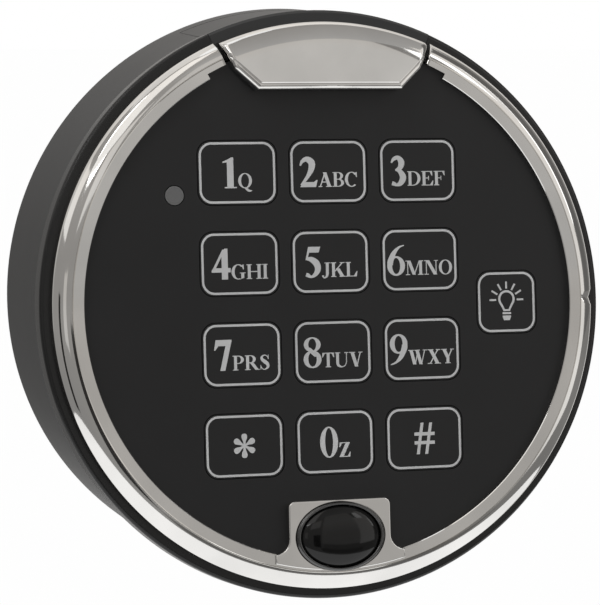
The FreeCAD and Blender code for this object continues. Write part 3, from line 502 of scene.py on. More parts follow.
def stroke_faces(stroke):
    """Flat faces of one stroke of a sign, on its own scale."""
    kind, values = stroke[0], stroke[1:]
    if kind == "bar":
        x0, y0, x1, y1 = values
        return [{"points": [(x0, y0), (x1, y0), (x1, y1), (x0, y1)], "faces": [(0, 1, 2, 3)]}]
    if kind == "slant":
        x0, y0, x1, y1, w = values
        h = w / 2
        return [{"points": [(x0 - h, y0), (x0 + h, y0), (x1 + h, y1), (x1 - h, y1)],
                 "faces": [(0, 1, 2, 3)]}]
    if kind == "shape":
        return [{"points": list(values), "faces": [tuple(range(len(values)))]}]
    if kind == "bowl":
        x, y, rx, ry, tx, ty, a0, a1 = values
        steps = max(8, int(abs(a1 - a0) / 9))
        turns = [math.radians(a0 + (a1 - a0) * i / steps) for i in range(steps + 1)]
        closed = abs(a1 - a0) >= 360
        if closed:
            turns = turns[:-1]
        outer = [(x + rx * math.cos(t), y + ry * math.sin(t)) for t in turns]
        inner = [(x + (rx - tx) * math.cos(t), y + (ry - ty) * math.sin(t)) for t in turns]
        return [strip(outer, inner, closed)]
    line = smooth_line(values)
    left, right = [], []
    for i, (x, y, w) in enumerate(line):
        ax, ay, _ = line[max(0, i - 1)]
        bx, by, _ = line[min(len(line) - 1, i + 1)]
        length = math.hypot(bx - ax, by - ay)
        nx, ny = -(by - ay) / length, (bx - ax) / length
        left.append((x + nx * w / 2, y + ny * w / 2))
        right.append((x - nx * w / 2, y - ny * w / 2))
    return [strip(left, right)]


def wedge(name, half_angle, inset, bottom, top):
    """A wedge about the upper half of the face's Y axis."""
    apex = inset / math.sin(half_angle)
    x = REACH * math.sin(half_angle)
    y = apex + REACH * math.cos(half_angle)
    return prism(name, [(0, apex), (x, y), (-x, y)], bottom, top)


def shoulder_arc(rim, steps=12):
    """Rounded shoulder from the crease to the bezel's outer edge, as (radius, height) points."""
    start = Vector((rim.crease_r + rim.groove * 0.6, rim.flange_z - 0.03))
    end = Vector((rim.bezel_r, -rim.drop))
    chord = end - start
    out = Vector((-chord.y, chord.x)).normalized()
    half = chord.length / 2
    radius = (half ** 2 + rim.bulge ** 2) / (2 * rim.bulge)
    centre = (start + end) / 2 + out * (rim.bulge - radius)
    a0, a1 = (math.degrees(math.atan2(p.y - centre.y, p.x - centre.x)) for p in (start, end))
    return arc(centre.x, centre.y, radius, a0, a1, steps)


def stand(obj, on_face=True):
    """Puts a piece from the face frame, or the door frame, into the world and applies it."""
    face = bpy.context.scene.lock_face
    if on_face:
        obj.rotation_euler = (math.pi / 2 - face.tilt, 0, 0)
        obj.location = (0, -face.height * MM, 0)
    else:
        obj.rotation_euler = (math.pi / 2, 0, 0)
    select_only(obj)
    bpy.ops.object.transform_apply(location=True, rotation=True, scale=True)
    return obj


def finish_piece(obj, key, body, nodes=(), angle=SMOOTH_ANGLE, keep_flats=False):
    """Finish, shading, body and slot of a piece; keep_flats holds wide flat faces truly flat."""
    obj.data.materials.clear()
    obj.data.materials.append(finish(key))
    select_only(obj)
    bpy.ops.object.shade_smooth_by_angle(angle=angle)
    if keep_flats:
        weighted = obj.modifiers.new("flats", "WEIGHTED_NORMAL")
        weighted.keep_sharp = True
        bpy.ops.object.modifier_apply(modifier=weighted.name)
    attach(obj, body)
    if nodes:
        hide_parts(*nodes)
    return obj


# Materials.

def socket(group, name, direction, kind, default=None):
    made = group.interface.new_socket(name=name, in_out=direction, socket_type=kind)
    if default is not None:
        made.default_value = default


def add_node(tree, kind, values=(), sources=(), **settings):
    """A shader node with its settings, its inputs' values and the outputs that feed its inputs."""
    node = tree.nodes.new("ShaderNode" + kind)
    for key, value in settings.items():
        setattr(node, key, value)
    for key, value in values:
        node.inputs[key].default_value = value
    for key, source in sources:
        tree.links.new(source, node.inputs[key])
    return node


def moulded_surface():
    """Shared group: fine moulded grain and faint handling marks."""
    name = "moulded surface"
    if name in bpy.data.node_groups:
        return bpy.data.node_groups[name]
    group = bpy.data.node_groups.new(name, "ShaderNodeTree")
    socket(group, "Colour", "INPUT", "NodeSocketColor", (0.03, 0.03, 0.03, 1))
    socket(group, "Roughness", "INPUT", "NodeSocketFloat", 0.4)
    socket(group, "Roughness spread", "INPUT", "NodeSocketFloat", 0.06)
    socket(group, "Grain scale", "INPUT", "NodeSocketFloat", 2500.0)
    socket(group, "Colour", "OUTPUT", "NodeSocketColor")
    socket(group, "Roughness", "OUTPUT", "NodeSocketFloat")
    socket(group, "Grain", "OUTPUT", "NodeSocketFloat")
    start = group.nodes.new("NodeGroupInput").outputs
    end = group.nodes.new("NodeGroupOutput").inputs
    place = add_node(group, "TexCoord").outputs["Object"]
    grain = add_node(group, "TexNoise", [("Detail", 2.0)],
                     [("Vector", place), ("Scale", start["Grain scale"])])
    cloud = add_node(group, "TexNoise", [("Scale", 70.0), ("Detail", 4.0)], [("Vector", place)])
    centred = add_node(group, "Math", [(1, 0.5)], [(0, cloud.outputs["Fac"])], operation="SUBTRACT")
    spread = add_node(group, "Math", sources=[(0, centred.outputs[0]), (1, start["Roughness spread"]),
                                              (2, start["Roughness"])], operation="MULTIPLY_ADD")
    tone = add_node(group, "MapRange", [("From Min", 0.3), ("From Max", 0.7), ("To Min", 0.93),
                                        ("To Max", 1.07)], [("Value", cloud.outputs["Fac"])])
    tint = add_node(group, "VectorMath", sources=[(0, start["Colour"])], operation="SCALE")
    group.links.new(tone.outputs["Result"], tint.inputs["Scale"])
    group.links.new(tint.outputs["Vector"], end["Colour"])
    group.links.new(spread.outputs[0], end["Roughness"])
    group.links.new(grain.outputs["Fac"], end["Grain"])
    return group


def surface_material(name, colour, values, sockets):
    """A material on the shared surface group; constant values go on the shader's sockets."""
    roughness, spread, grain, strength, depth = values
    if name in bpy.data.materials:
        return bpy.data.materials[name]
    material = bpy.data.materials.new(name)
    material.use_nodes = True
    tree = material.node_tree
    shader = tree.nodes["Principled BSDF"]
    surface = add_node(tree, "Group", node_tree=moulded_surface())
    for key, value in (("Colour", colour), ("Roughness", roughness), ("Roughness spread", spread),
                       ("Grain scale", grain)):
        surface.inputs[key].default_value = value
    height = add_node(tree, "Bump", [("Strength", strength), ("Distance", depth)],
                      [("Height", surface.outputs["Grain"])])
    for source, key in ((surface.outputs["Colour"], "Base Color"),
                        (surface.outputs["Roughness"], "Roughness"), (height.outputs["Normal"], "Normal")):
        tree.links.new(source, shader.inputs[key])
    for key, value in sockets.items():
        shader.inputs[key].default_value = value
    return material


def finish(key):
    """A material of the table; a colour given by name comes from the scene's colours."""
    name, colour, *values, sockets = FINISHES[key]
    if isinstance(colour, str):
        colour = getattr(bpy.context.scene.lock_colours, colour)
    return surface_material(name, colour, values, sockets)


METAL = {"Metallic": 1.0}

# Material, colour, roughness, its spread, grain scale, grain strength, grain depth, shader's sockets.
FINISHES = {
    "chrome": ("polished chrome", "chrome", 0.07, 0.04, 900, 0.02, 5e-6, METAL),
    "wall": ("satin black housing", "wall", 0.42, 0.08, 1800, 0.25, 3e-5, {"Specular IOR Level": 0.5}),
    "cover": ("black cover", "cover", 0.27, 0.06, 1800, 0.15, 2e-5, {"Specular IOR Level": 0.45}),
    "face": ("black key face", "face", 0.38, 0.05, 3000, 0.12, 1e-5, {"Specular IOR Level": 0.35}),
    "ink": ("grey key print", "ink", 0.55, 0.08, 4000, 0.05, 1e-5, {"Specular IOR Level": 0.3}),
    "dome": ("black gloss dome", (0.003, 0.003, 0.003, 1), 0.09, 0.02, 900, 0.01, 5e-6,
             {"Specular IOR Level": 0.45}),
    "rim": ("dark chrome badge rim", (0.13, 0.13, 0.13, 1), 0.22, 0.04, 900, 0.02, 5e-6, METAL),
    "steel": ("zinc plated steel", (0.56, 0.57, 0.60, 1), 0.36, 0.25, 500, 0.3, 3e-5, METAL),
    "screw": ("black oxide screw", (0.05, 0.05, 0.055, 1), 0.35, 0.15, 1500, 0.2, 2e-5, METAL),
    "chassis": ("matt black chassis", (0.025, 0.025, 0.026, 1), 0.6, 0.1, 1500, 0.4, 5e-5, {}),
    "domes": ("bright snap domes", (0.75, 0.74, 0.72, 1), 0.22, 0.1, 900, 0.1, 1e-5, METAL),
    "board": ("green solder mask", (0.012, 0.10, 0.035, 1), 0.3, 0.1, 700, 0.3, 3e-5, {}),
    "lens": ("smoked status lens", (0.10, 0.10, 0.10, 1), 0.3, 0.05, 900, 0.05, 1e-5,
             {"Coat Weight": 0.5}),
    "chip": ("moulded chip", (0.02, 0.02, 0.021, 1), 0.55, 0.1, 2500, 0.4, 3e-5, {}),
    "buzzer": ("black buzzer can", (0.018, 0.018, 0.019, 1), 0.35, 0.1, 1500, 0.2, 2e-5, {}),
    "socket": ("white socket", (0.72, 0.70, 0.64, 1), 0.45, 0.1, 1500, 0.2, 2e-5, {}),
    "spring": ("nickel spring strip", (0.66, 0.62, 0.54, 1), 0.25, 0.12, 800, 0.1, 1e-5, METAL),
    "snap": ("nickel snap", (0.70, 0.66, 0.58, 1), 0.22, 0.12, 800, 0.1, 1e-5, METAL),
    "battery": ("battery jacket", (0.32, 0.33, 0.35, 1), 0.34, 0.12, 900, 0.1, 1e-5, {"Metallic": 0.4}),
}

# Finish of each carried-over node; the others have the key face's.
NODE_FINISHES = {
    "mounting_base": "steel", "housing_screws": "steel", "retaining_screw": "screw",
    "rear_housing": "wall", "chassis": "chassis", "front_cover": "cover", "battery_drawer": "wall",
    "switch_domes": "domes", "circuit_board": "board", "indicator_led": "lens",
    "controller_chip": "chip", "buzzer": "buzzer", "cable_socket": "socket",
    "contact_springs": "spring", "battery_contacts": "snap", "battery": "battery",
    "chrome_bezel": "chrome", "drawer_tab": "chrome",
}


# Operators, one for each piece or group of like pieces.

class BuildBezel(bpy.types.Operator):
    """Bright bezel: flange, crease, rounded shoulder, badge plate, index notch and tab gap"""
    bl_idname = "safe_keypad.bezel"
    bl_label = "Build bezel"

    def execute(self, context):
        scene = context.scene
        rim, badge, tab = scene.lock_rim, scene.lock_badge, scene.lock_tab
        edge = rim.flange_edge
        section = [(rim.flange_r, 0.0), (rim.flange_r, rim.flange_z - edge),
                   (rim.flange_r + edge, rim.flange_z), (rim.crease_r - rim.groove * 0.6, rim.flange_z),
                   (rim.crease_r, rim.flange_z - rim.groove)]
        section += shoulder_arc(rim)
        section += [(rim.bezel_r, -rim.seat), (rim.bore_r, -rim.seat), (rim.bore_r, 0.0)]
        bezel = turned("bezel_trim", section)
        bezel = boolean(bezel, self.plate(rim, badge), "UNION")
        relief = wedge("relief", tab.relief_angle, 0, -0.2, REACH)
        inner = prism("inner", arc(0, 0, rim.flange_r + tab.relief_w, 0, 360 * 127 / 128, 127),
                      -1, REACH)
        boolean(relief, inner, "INTERSECT")
        boolean(bezel, relief)
        boolean(bezel, wedge("gap", tab.gap_angle, 0, -REACH, REACH))
        select_only(bezel)
        select_edges(bezel, lambda a, b: self.at_gap(a, b, tab))
        bpy.ops.mesh.bevel(offset=tab.end_round * MM, segments=4, clamp_overlap=False)
        bpy.ops.object.mode_set(mode="OBJECT")
        gap = badge.pocket_gap
        pocket = prism("pocket", oval_points(badge.oval_w + gap, badge.oval_h + gap, badge.centre_y),
                       badge.pocket_z, REACH)
        boolean(bezel, pocket)
        boolean(bezel, self.notch(rim, scene.lock_notch))
        stand(bezel)
        finish_piece(bezel, "chrome", "housing", ["chrome_bezel"], keep_flats=True)
        return {"FINISHED"}

    def at_gap(self, a, b, tab):
        """Upper edges of the rim's two ends, beside the tab."""
        for point in (a, b):
            if point.z < -1.0 or point.y < 30:
                return False
            off = abs(point.x) * math.cos(tab.gap_angle) - point.y * math.sin(tab.gap_angle)
            if abs(off) > 0.01:
                return False
        return True

    def plate(self, rim, badge):
        """The raised plate's outline with rounded upper corners and hollow feet."""
        w, r, f = badge.half_w, badge.corner, badge.fillet
        lap, tuck, sink = 0.15, 0.4, 0.05
        top = badge.length - rim.flange_r
        foot_y = -math.sqrt((rim.flange_r + lap) ** 2 - (w + f) ** 2)
        right = arc(w + f, foot_y + f, f, 270, 180, 8)
        right += arc(w - r, top - r, r, 0, 90, 6)
        left = [(-x, y) for x, y in reversed(right)]
        low = -math.sqrt((rim.crease_r - tuck) ** 2 - (w + f) ** 2)
        sweep = math.degrees(math.atan2(-low, w + f))
        bottom = arc(0, 0, rim.crease_r - tuck, 180 + sweep, 360 - sweep, 24)
        plate = prism("plate", right + left + bottom, -sink, badge.plate_z)
        select_only(plate)
        select_edges(plate, lambda a, b: min(a.z, b.z) > badge.plate_z - 0.01)
        bpy.ops.mesh.bevel(offset=badge.plate_edge * MM, segments=3)
        bpy.ops.object.mode_set(mode="OBJECT")
        return plate

    def notch(self, rim, size):
        """A cutter for the V notch at three o'clock; its valley follows the rounded shoulder."""
        shoulder = shoulder_arc(rim)
        apex_r = rim.crease_r - size.inset
        stations = [(apex_r, rim.flange_z)] + shoulder + [(rim.bezel_r + 1.0, -rim.drop - 1.6)]
        above = 0.35
        mesh = bmesh.new()
        rows = []
        for r, z in stations:
            half = size.half_w * (r - apex_r) / (rim.bezel_r - apex_r)
            valley = (r, 0, z - half * size.depth)
            sides = [(r, way * (half + above / size.depth), z + above) for way in (-1, 1)]
            rows.append([mesh.verts.new(Vector(p) * MM) for p in [valley] + sides])
        for a, b in zip(rows, rows[1:]):
            for i in range(3):
                j = (i + 1) % 3
                mesh.faces.new((a[i], a[j], b[j], b[i]))
        mesh.faces.new(rows[0])
        mesh.faces.new(rows[-1])
        bmesh.ops.recalc_face_normals(mesh, faces=mesh.faces)
        data = bpy.data.meshes.new("notch")
        mesh.to_mesh(data)
        mesh.free()
        cutter = bpy.data.objects.new("notch", data)
        bpy.context.scene.collection.objects.link(cutter)
        return cutter


class BuildPullTab(bpy.types.Operator):
    """Bright pull tab that joins the bezel's outline and rises to a straight rounded lip"""
    bl_idname = "safe_keypad.pull_tab"
    bl_label = "Build pull tab"

    def execute(self, context):
        scene = context.scene
        rim, tab, face = scene.lock_rim, scene.lock_tab, scene.lock_face
        profile = self.profile(rim, tab)
        inner = tab.lip_y - face.fit_gap
        section = [(inner, face.fit_gap), (inner, tab.lip_z)] + profile
        section += [(tab.outer_r, -rim.seat), (rim.bore_r, -rim.seat), (rim.bore_r, face.fit_gap)]
        piece = turned("pull_tab", section)
        boolean(piece, prism("plan", self.plan(tab), -REACH, REACH), "INTERSECT")
        self.round_edges(piece, tab)
        stand(piece)
        finish_piece(piece, "chrome", "drawer", ["drawer_tab"])
        return {"FINISHED"}

    def side_slope(self, tab):
        return (REACH * math.tan(tab.gap_angle) - tab.side_x) / (REACH - tab.side_y)

    def plan(self, tab):
        """Outline from the front: lip, two slanted sides and two sides beside the gap."""
        far_x = REACH * math.tan(tab.gap_angle)
        return [(-tab.lip_half_w, tab.lip_y), (tab.lip_half_w, tab.lip_y), (tab.side_x, tab.side_y),
                (far_x, REACH), (-far_x, REACH), (-tab.side_x, tab.side_y)]

    def edges(self, tab):
        """The outline's straight edges as (point, inward direction, has a groove)."""
        slant = Vector((tab.side_x - tab.lip_half_w, tab.side_y - tab.lip_y)).normalized()
        side = Vector((self.side_slope(tab), 1)).normalized()
        edges = [(Vector((0, tab.lip_y)), Vector((0, 1)), True)]
        for way in (1, -1):
            edges.append((Vector((way * tab.lip_half_w, tab.lip_y)),
                          Vector((-way * slant.y, slant.x)), True))
            edges.append((Vector((way * tab.side_x, tab.side_y)),
                          Vector((-way * side.y, side.x)), False))
        return edges

    def round_edges(self, piece, tab):
        """Cuts the top along its straight edges, then lowers it there: rolled edge and fine groove."""
        mesh = bmesh.new()
        mesh.from_mesh(piece.data)
        steps = 8
        rolled = [tab.edge_round * (1 - math.cos(math.pi / 2 * i / steps)) for i in range(1, steps + 1)]
        groove = [tab.edge_round + tab.groove_w * i / 4 for i in (1, 2, 3, 4, 4.6, 7)]
        for point, inward, grooved in self.edges(tab):
            for depth in rolled + (groove if grooved else []):
                top = self.top_faces(mesh)
                parts = set(top) | {e for f in top for e in f.edges} | {v for f in top for v in f.verts}
                bmesh.ops.bisect_plane(
                    mesh, geom=list(parts), dist=1e-7, plane_no=(inward.x, inward.y, 0),
                    plane_co=((point + inward * depth) * MM).to_3d())
        top = self.top_faces(mesh)
        for vertex in {v for f in top for v in f.verts}:
            vertex.co.z -= self.lowering(vertex.co.xy / MM, tab) * MM
        bmesh.ops.triangulate(mesh, faces=top)
        mesh.to_mesh(piece.data)
        mesh.free()

    def top_faces(self, mesh):
        mesh.normal_update()
        return [face for face in mesh.faces if face.normal.z > 0.05]

    def lowering(self, place, tab):
        """How far the top lies lower at a point of its plan."""
        depths = [((place - point).dot(inward), grooved) for point, inward, grooved in self.edges(tab)]
        near = max(0.0, min(depth for depth, grooved in depths))
        low = 0.0
        if near < tab.edge_round:
            low = tab.edge_round * (1 - math.sqrt(1 - (1 - near / tab.edge_round) ** 2))
        off = min(depth for depth, grooved in depths if grooved) - tab.edge_round
        off = off / (tab.groove_w / 2) - 1
        if abs(off) < 1:
            low += tab.groove_d * (1 + math.cos(math.pi * off)) / 2
        return low

    def profile(self, rim, tab):
        """Height against radius: gently falling top, quicker fall, then rounded to the outer edge."""
        fall, steep = math.tan(tab.fall), math.tan(tab.brow_fall)
        points = [(tab.lip_y + tab.land, tab.lip_z)]
        z = tab.lip_z - (tab.turn_r - tab.lip_y - tab.land) * fall
        length = tab.brow_r - tab.turn_r
        for i in range(13):
            s = length * i / 12
            points.append((tab.turn_r + s, z - fall * s - (steep - fall) * s * s / (2 * length)))
        lead, rise = 0.75, 1.2
        brow = Vector(points[-1])
        out = Vector((1, -steep)) * lead
        end = Vector((tab.outer_r, -rim.drop))
        for i in range(1, 15):
            k = i / 14
            points.append(tuple(brow * (1 - k) ** 3 + (brow + out) * 3 * k * (1 - k) ** 2
                                + (end + Vector((0, rise))) * 3 * k * k * (1 - k) + end * k ** 3))
        return points


class BuildBadge(bpy.types.Operator):
    """Oval badge: bevelled rim and a bare glossy dome"""
    bl_idname = "safe_keypad.badge"
    bl_label = "Build badge"

    def execute(self, context):
        badge = context.scene.lock_badge
        top = badge.pocket_z + badge.rim_h
        squeeze = badge.oval_h / badge.oval_w
        w = badge.oval_w
        section = [(w, badge.pocket_z), (w, top - 0.62), (w - 0.10, top - 0.34), (w - 0.30, top - 0.12),
                   (w - 0.52, top), (w - 0.70, top - 0.03), (w - badge.rim_w, top - 0.30),
                   (w - badge.rim_w, badge.pocket_z)]
        rim = turned("badge_bevel", section, 128)
        self.squash(rim, squeeze, badge.centre_y)
        stand(rim)
        finish_piece(rim, "rim", "housing", ["badge_rim"], math.radians(60))
        inner = w - badge.rim_w - 0.02
        drop = badge.dome_h - badge.skirt_h
        steps = [(inner, badge.pocket_z), (inner, badge.pocket_z + badge.skirt_h * 0.8)]
        for i in range(1, 16):
            turn = math.pi / 2 * i / 16
            steps.append((inner * math.cos(turn) ** 0.9,
                          badge.pocket_z + badge.skirt_h + drop * math.sin(turn) ** 1.15))
        cap = turned("badge_gloss", steps, 128, closed=False)
        self.squash(cap, squeeze, badge.centre_y)
        stand(cap)
        finish_piece(cap, "dome", "housing", ["badge_dome"], math.radians(60))
        return {"FINISHED"}

    def squash(self, obj, squeeze, centre_y):
        """Turns the round form into an oval and puts it in its place on the face."""
        select_only(obj)
        bpy.ops.object.mode_set(mode="EDIT")
        bpy.ops.mesh.select_all(action="SELECT")
        bpy.ops.transform.resize(value=(1, squeeze, 1), center_override=(0, 0, 0))
        bpy.ops.transform.translate(value=(0, centre_y * MM, 0))
        bpy.ops.object.mode_set(mode="OBJECT")


class BuildCover(bpy.types.Operator):
    """Black front cover outside the bezel, with its gap for the drawer"""
    bl_idname = "safe_keypad.cover"
    bl_label = "Build cover"

    def execute(self, context):
        scene = context.scene
        rim, tab, face = scene.lock_rim, scene.lock_tab, scene.lock_face
        back, front = rim.back_round, rim.front_round
        outer = [(rim.cover_r - back + back * math.sin(t), -rim.seam + back - back * math.cos(t))
                 for t in (math.pi / 2 * i / 5 for i in range(6))]
        outer += [(rim.cover_r - front + front * math.cos(t), -rim.seat - front + front * math.sin(t))
                  for t in (math.pi / 2 * i / 7 for i in range(8))]
        outer += [(rim.bore_r, -rim.seat), (rim.bore_r, -rim.plate), (rim.ledge_r, -rim.plate),
                  (rim.ledge_r, -rim.seam)]
        cover = turned("cover_band", outer)
        boolean(cover, wedge("gap", tab.gap_angle, face.fit_gap - tab.seam, -REACH, REACH))
        stand(cover)
        finish_piece(cover, "cover", "housing", ["front_cover"], keep_flats=True)
        return {"FINISHED"}


class BuildHousing(bpy.types.Operator):
    """Sloping wall behind the cover, thin at the top and deep at the foot"""
    bl_idname = "safe_keypad.housing"
    bl_label = "Build housing"

    def execute(self, context):
        scene = context.scene
        rim, tab, face = scene.lock_rim, scene.lock_tab, scene.lock_face
        wall = self.sloping_ring("housing_wall", rim, face)
        boolean(wall, wedge("gap", tab.gap_angle, face.fit_gap - tab.seam, tab.gap_foot, REACH))
        bpy.ops.object.select_all(action="DESELECT")
        bpy.ops.mesh.primitive_cylinder_add(
            vertices=48, radius=rim.grub_r * MM, depth=4 * rim.wall * MM, rotation=(math.pi / 2, 0, 0),
            location=(0, -(rim.base_r - rim.wall / 2) * MM, rim.grub_z * MM))
        hole = named("grub_hole")
        bpy.ops.object.transform_apply(location=True, rotation=True, scale=True)
        boolean(wall, hole)
        stand(wall, on_face=False)
        finish_piece(wall, "wall", "housing", ["rear_housing"])
        return {"FINISHED"}

    def sloping_ring(self, name, rim, face):
        """Circles in the door's plane and in the seam's plane, joined by extruding."""
        inner = rim.base_r - rim.wall
        lip = inner - rim.lip
        bevel = 0.3
        loops = [(rim.base_r - bevel, 0.0, False), (rim.base_r, bevel, False),
                 (rim.base_r, -rim.seam - bevel, True), (rim.base_r - bevel, -rim.seam, True),
                 (inner, -rim.seam, True), (inner, rim.lip_z, False), (lip, rim.lip_z, False),
                 (lip, 0.0, False)]
        bpy.ops.object.select_all(action="DESELECT")
        bpy.ops.mesh.primitive_circle_add(vertices=RING_STEPS, radius=MM)
        obj = named(name)
        bpy.ops.object.mode_set(mode="EDIT")
        bpy.ops.mesh.select_all(action="SELECT")
        self.set_loop(obj, loops[0], face)
        for loop in loops[1:] + loops[:1]:
            bpy.ops.mesh.extrude_region_move(TRANSFORM_OT_translate={"value": (0, 0, 0)})
            self.set_loop(obj, loop, face)
        close_shape(weld=True)
        return obj

    def set_loop(self, obj, loop, face):
        """Gives the selected circle its radius and its plane."""
        radius, height, tilted = loop
        place = Matrix.Identity(4)
        if tilted:
            place = (Matrix.Translation((0, 0, face.height * MM))
                     @ Matrix.Rotation(-face.tilt, 4, "X"))
        mesh = bmesh.from_edit_mesh(obj.data)
        chosen = [v for v in mesh.verts if v.select]
        if "turn" not in obj:
            for v in chosen:
                v.co = Vector((v.co.x, v.co.y, 0)).normalized()
            obj["turn"] = [x for v in chosen for x in v.co[:2]]
        turns = obj["turn"]
        for i, v in enumerate(chosen):
            flat = Vector((turns[2 * i], turns[2 * i + 1], 0)) * radius * MM
            v.co = place @ (flat + Vector((0, 0, height * MM)))
        bmesh.update_edit_mesh(obj.data)


class BuildPrints(bpy.types.Operator):
    """Printed frames and legends on the thirteen keys"""
    bl_idname = "safe_keypad.prints"
    bl_label = "Print the keys"

    def execute(self, context):
        keys = context.scene.lock_keys
        rows = [("1", "2", "3"), ("4", "5", "6"), ("7", "8", "9"), ("star", "0", "hash")]
        for row, names in enumerate(rows):
            for column, name in enumerate(names):
                x = (column - 1) * keys.pitch_x
                y = keys.top_y - row * keys.pitch_y
                self.print_key(name, x, y, keys.frame_w, keys)
        self.print_key("light", keys.light_x, keys.light_y, keys.light_w, keys)
        return {"FINISHED"}

    def print_key(self, name, x, y, width, keys):
        piece = self.line_frame("print_" + name, width, keys.frame_h, keys)
        self.add_signs(piece, self.strokes_of(name, keys), keys)
        select_only(piece)
        bpy.ops.object.mode_set(mode="EDIT")
        bpy.ops.mesh.select_all(action="SELECT")
        bpy.ops.transform.translate(value=(x * MM, y * MM, 0))
        bpy.ops.object.mode_set(mode="OBJECT")
        stand(piece)
        finish_piece(piece, "ink", "key_" + name + "_cap")

    def strokes_of(self, name, keys):
        """Strokes of one key, as (stroke, scale, offset x, offset y) in millimetres."""
        if name == "hash":
            return [(stroke, 1.0, 0.0, 0.0) for stroke in HASH_SIGN]
        if name == "star":
            return [(self.petal(60 * i + 90), 1.0, 0.0, 0.0) for i in range(6)]
        if name == "light":
            rays = [self.ray(30 * i) for i in range(7)]
            return [(stroke, 1.0, 0.0, 0.0) for stroke in BULB_SIGN + rays]
        text = LEGENDS[name]
        sizes = [keys.digit_h] + [keys.letter_h] * (len(text) - 1)
        gaps = [keys.digit_gap] + [keys.letter_gap] * (len(text) - 2)
        length = sum(SIGNS[sign][0] * size for sign, size in zip(text, sizes)) + sum(gaps)
        x = -length / 2
        strokes = []
        for sign, size, gap in zip(text, sizes, gaps + [0.0]):
            width, parts = SIGNS[sign]
            strokes += [(part, size, x, -keys.digit_h / 2) for part in parts]
            x += width * size + gap
        return strokes

    def petal(self, degrees):
        """One drop of the star sign: thin at the middle, round at its end."""
        turn = math.radians(degrees)
        c, s = math.cos(turn), math.sin(turn)
        return ("brush",) + tuple((r * c, r * s, w) for r, w in (
            (0.0, 0.28), (0.7, 0.48), (1.2, 0.86), (1.6, 1.04), (1.9, 0.90), (2.08, 0.50), (2.12, 0.08)))

    def ray(self, degrees):
        turn = math.radians(degrees)
        c, s = math.cos(turn), math.sin(turn)
        return ("brush",) + tuple((r * c, 0.40 + r * s, 0.33) for r in (1.98, 2.6, 3.25))

    def add_signs(self, piece, strokes, keys):
        """Adds the strokes to the print as thin blocks; each lies a hair higher than the last."""
        mesh = bmesh.new()
        mesh.from_mesh(piece.data)
        for i, (stroke, size, x0, y0) in enumerate(strokes):
            lift = i * keys.lift * MM
            for band in stroke_faces(stroke):
                low = [mesh.verts.new(((x0 + x * size) * MM, (y0 + y * size) * MM, lift))
                       for x, y in band["points"]]
                faces = [mesh.faces.new([low[k] for k in face]) for face in band["faces"]]
                made = bmesh.ops.extrude_face_region(mesh, geom=faces)
                for vertex in made["geom"]:
                    if isinstance(vertex, bmesh.types.BMVert):
                        vertex.co.z += keys.ink * MM
        bmesh.ops.recalc_face_normals(mesh, faces=mesh.faces)
        mesh.to_mesh(piece.data)
        mesh.free()

    def line_frame(self, name, width, height, keys):
        """A plane with rounded corners, inset to a line and extruded to the ink's height."""
        bpy.ops.object.select_all(action="DESELECT")
        bpy.ops.mesh.primitive_plane_add(size=MM)
        obj = named(name)
        bpy.ops.object.mode_set(mode="EDIT")
        bpy.ops.mesh.select_all(action="SELECT")
        grow = keys.line_w
        bpy.ops.transform.resize(value=(width + grow, height + grow, 1), center_override=(0, 0, 0))
        reach = keys.corner + grow / 2
        bpy.ops.mesh.bevel(offset=reach * MM, offset_type="OFFSET", segments=10, affect="VERTICES",
                           clamp_overlap=False)
        bpy.ops.mesh.select_mode(type="FACE")
        bpy.ops.mesh.select_all(action="SELECT")
        bpy.ops.mesh.inset(thickness=keys.line_w * MM, use_boundary=True)
        bpy.ops.mesh.delete(type="FACE")
        bpy.ops.mesh.select_all(action="SELECT")
        bpy.ops.mesh.extrude_region_move(TRANSFORM_OT_translate={"value": (0, 0, keys.ink * MM)})
        close_shape()
        return obj


class FinishNodes(bpy.types.Operator):
    """Gives each carried-over part its own finish"""
    bl_idname = "safe_keypad.finishes"
    bl_label = "Finish the parts"

    def execute(self, context):
        for name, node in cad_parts.items():
            material = finish(NODE_FINISHES.get(name, "face"))
            if not node.material_slots:
                node.data.materials.append(material)
            for place in node.material_slots:
                place.material = material
        return {"FINISHED"}


def seeing_rays(tree):
    """One on the rays that see the white surroundings: camera, glossy and transmission rays."""
    path = add_node(tree, "LightPath").outputs
    seen = path["Is Camera Ray"]
    for ray in ("Is Glossy Ray", "Is Transmission Ray"):
        seen = add_node(tree, "Math", sources=[(0, seen), (1, path[ray])], operation="MAXIMUM").outputs[0]
    return seen


def direction(azimuth, elevation):
    """From the unit outwards; azimuth is to the right of the front, in degrees."""
    a, e = math.radians(azimuth), math.radians(elevation)
    return Vector((math.sin(a) * math.cos(e), -math.cos(a) * math.cos(e), math.sin(e)))


